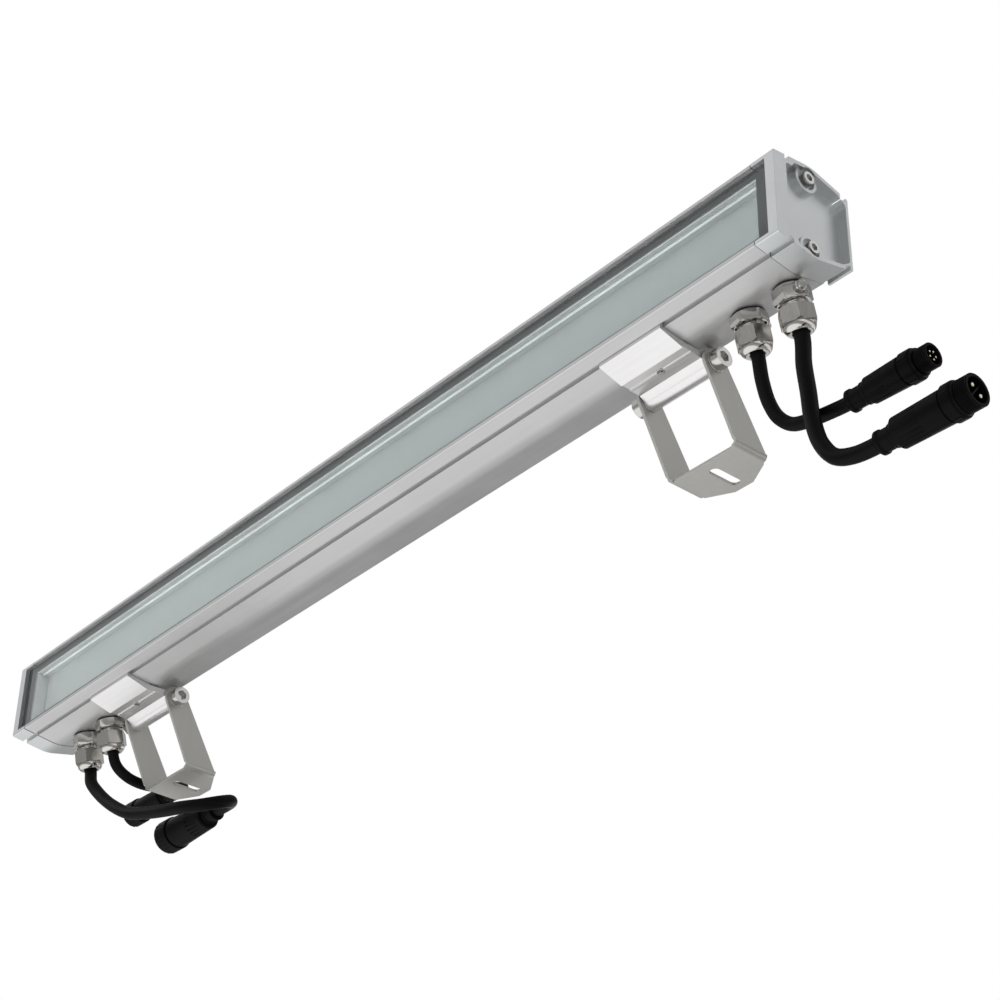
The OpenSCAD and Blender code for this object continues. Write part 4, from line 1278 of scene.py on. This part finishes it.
@dataclass
class Beads:
    """Thin ridges along both long walls of the window, whose pale colour is a painted highlight on their
    edges.
    """

    wall_gap: float = 0.3
    sunk: float = 0.2
    lines: tuple[tuple[str, float, float, float], ...] = (
        ("channel_bead", 13.8, 1.5, 0.9), ("window_bead", 8.6, 0.35, 0.3))

    def build(self, shop: Shop) -> None:
        """Makes the four beads.

        Args:
            shop: Takes the finished pieces.
        """
        low, high = (Vector(corner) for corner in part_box("lens_panel"))
        for name, y, deep, tall in self.lines:
            for edge, side, word in ((high.z, 1.0, "upper"), (low.z, -1.0, "lower")):
                wall = edge + side * (self.wall_gap + self.sunk) * MM
                size = (high.x - low.x, deep * MM, (tall + self.sunk) * MM)
                at = ((low.x + high.x) / 2.0, place(0.0, y, 0.0).y + size[1] / 2.0,
                      wall - side * size[2] / 2.0)
                bead = self.bar(f"{name}_{word}", at, size)
                # The pale bead colour is a painted highlight along the window's walls
                shop.hand_over(bead, "light_channel", PAINTED_HIGHLIGHT_BEAD, False)

    def bar(self, name: str, at: Point, size: Point) -> bpy.types.Object:
        """Makes one bead with rounded edges.

        Args:
            name: The piece's name.
            at: Its middle.
            size: Its size along each axis.

        Returns:
            The bead.
        """
        bpy.ops.object.select_all(action="DESELECT")
        bpy.ops.mesh.primitive_cube_add(size=1.0)
        bead = bpy.context.object
        bead.name = bead.data.name = name
        Bench.settle(bead, Matrix.Translation(at) @ Matrix.Diagonal((*size, 1.0)))
        return Bench.ease(bead, 0.15, 30.0, 3)


PLUGS = (
    Plug("data_plug_body", (496.0, 65.0, -142.5), cable=10.0, boot=16.5, rear=19.3, front=21.2,
         collar=22.9, thread=17.5, cavity=13.4, boot_len=16.7, body_len=31.3, collar_len=11.6,
         flutes=18),
    Plug("power_plug_body", (528.0, 51.0, -198.0), cable=11.5, boot=17.0, rear=22.2, front=23.8,
         collar=26.3, thread=23.1, cavity=18.0, boot_len=15.5, body_len=41.7, collar_len=10.7,
         flutes=20, rib=True),
)
SOCKETS = (
    Socket("power", (-301.0, 110.0, -146.5), length=80.0, cable=11.5, boot=17.0, front=23.8, nut=30.6,
           thread=23.1, ribs=20),
    Socket("data", (-438.0, 145.0, -69.0), length=72.0, cable=10.0, boot=16.5, front=21.2, nut=24.6,
           thread=17.5, ribs=18),
)
# Width of the broken edges of the CAD nodes that are finished as they are, in millimetres
PAIRED = {"end_cap": 0.9, "clamp": 0.5, "bracket": 0.4, "cap_screws": 0.6, "pivot_bolts": 0.9,
          "pivot_washers": 0.2, "clamp_screw": 0.4}
REFINED: dict[str, float] = {
    "housing_profile": 0.35,
    **{f"{kind}_{side}": width for kind, width in PAIRED.items() for side in SIDES},
    "vent_screws": 0.4, "gland_washers": 0.15, "gland_locknuts": 0.4, "data_plug_pins": 0.35,
    "power_plug_pins": 0.6, "power_socket_insert": 0.3, "data_socket_insert": 0.3, "led_driver": 1.5,
}


def main() -> None:
    """Builds the scene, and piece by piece."""
    logging.basicConfig(level=logging.INFO, format="%(message)s")
    Studio().build()
    dress_frame()
    shop = Shop()
    for builder in (*GLANDS, *PLUGS, *SOCKETS, Beads()):
        builder.build(shop)
    for node, width in REFINED.items():
        shop.refine(node, width)
    for lead in LEADS:
        lead.build(shop.made)


if __name__ == "__main__":
    main()
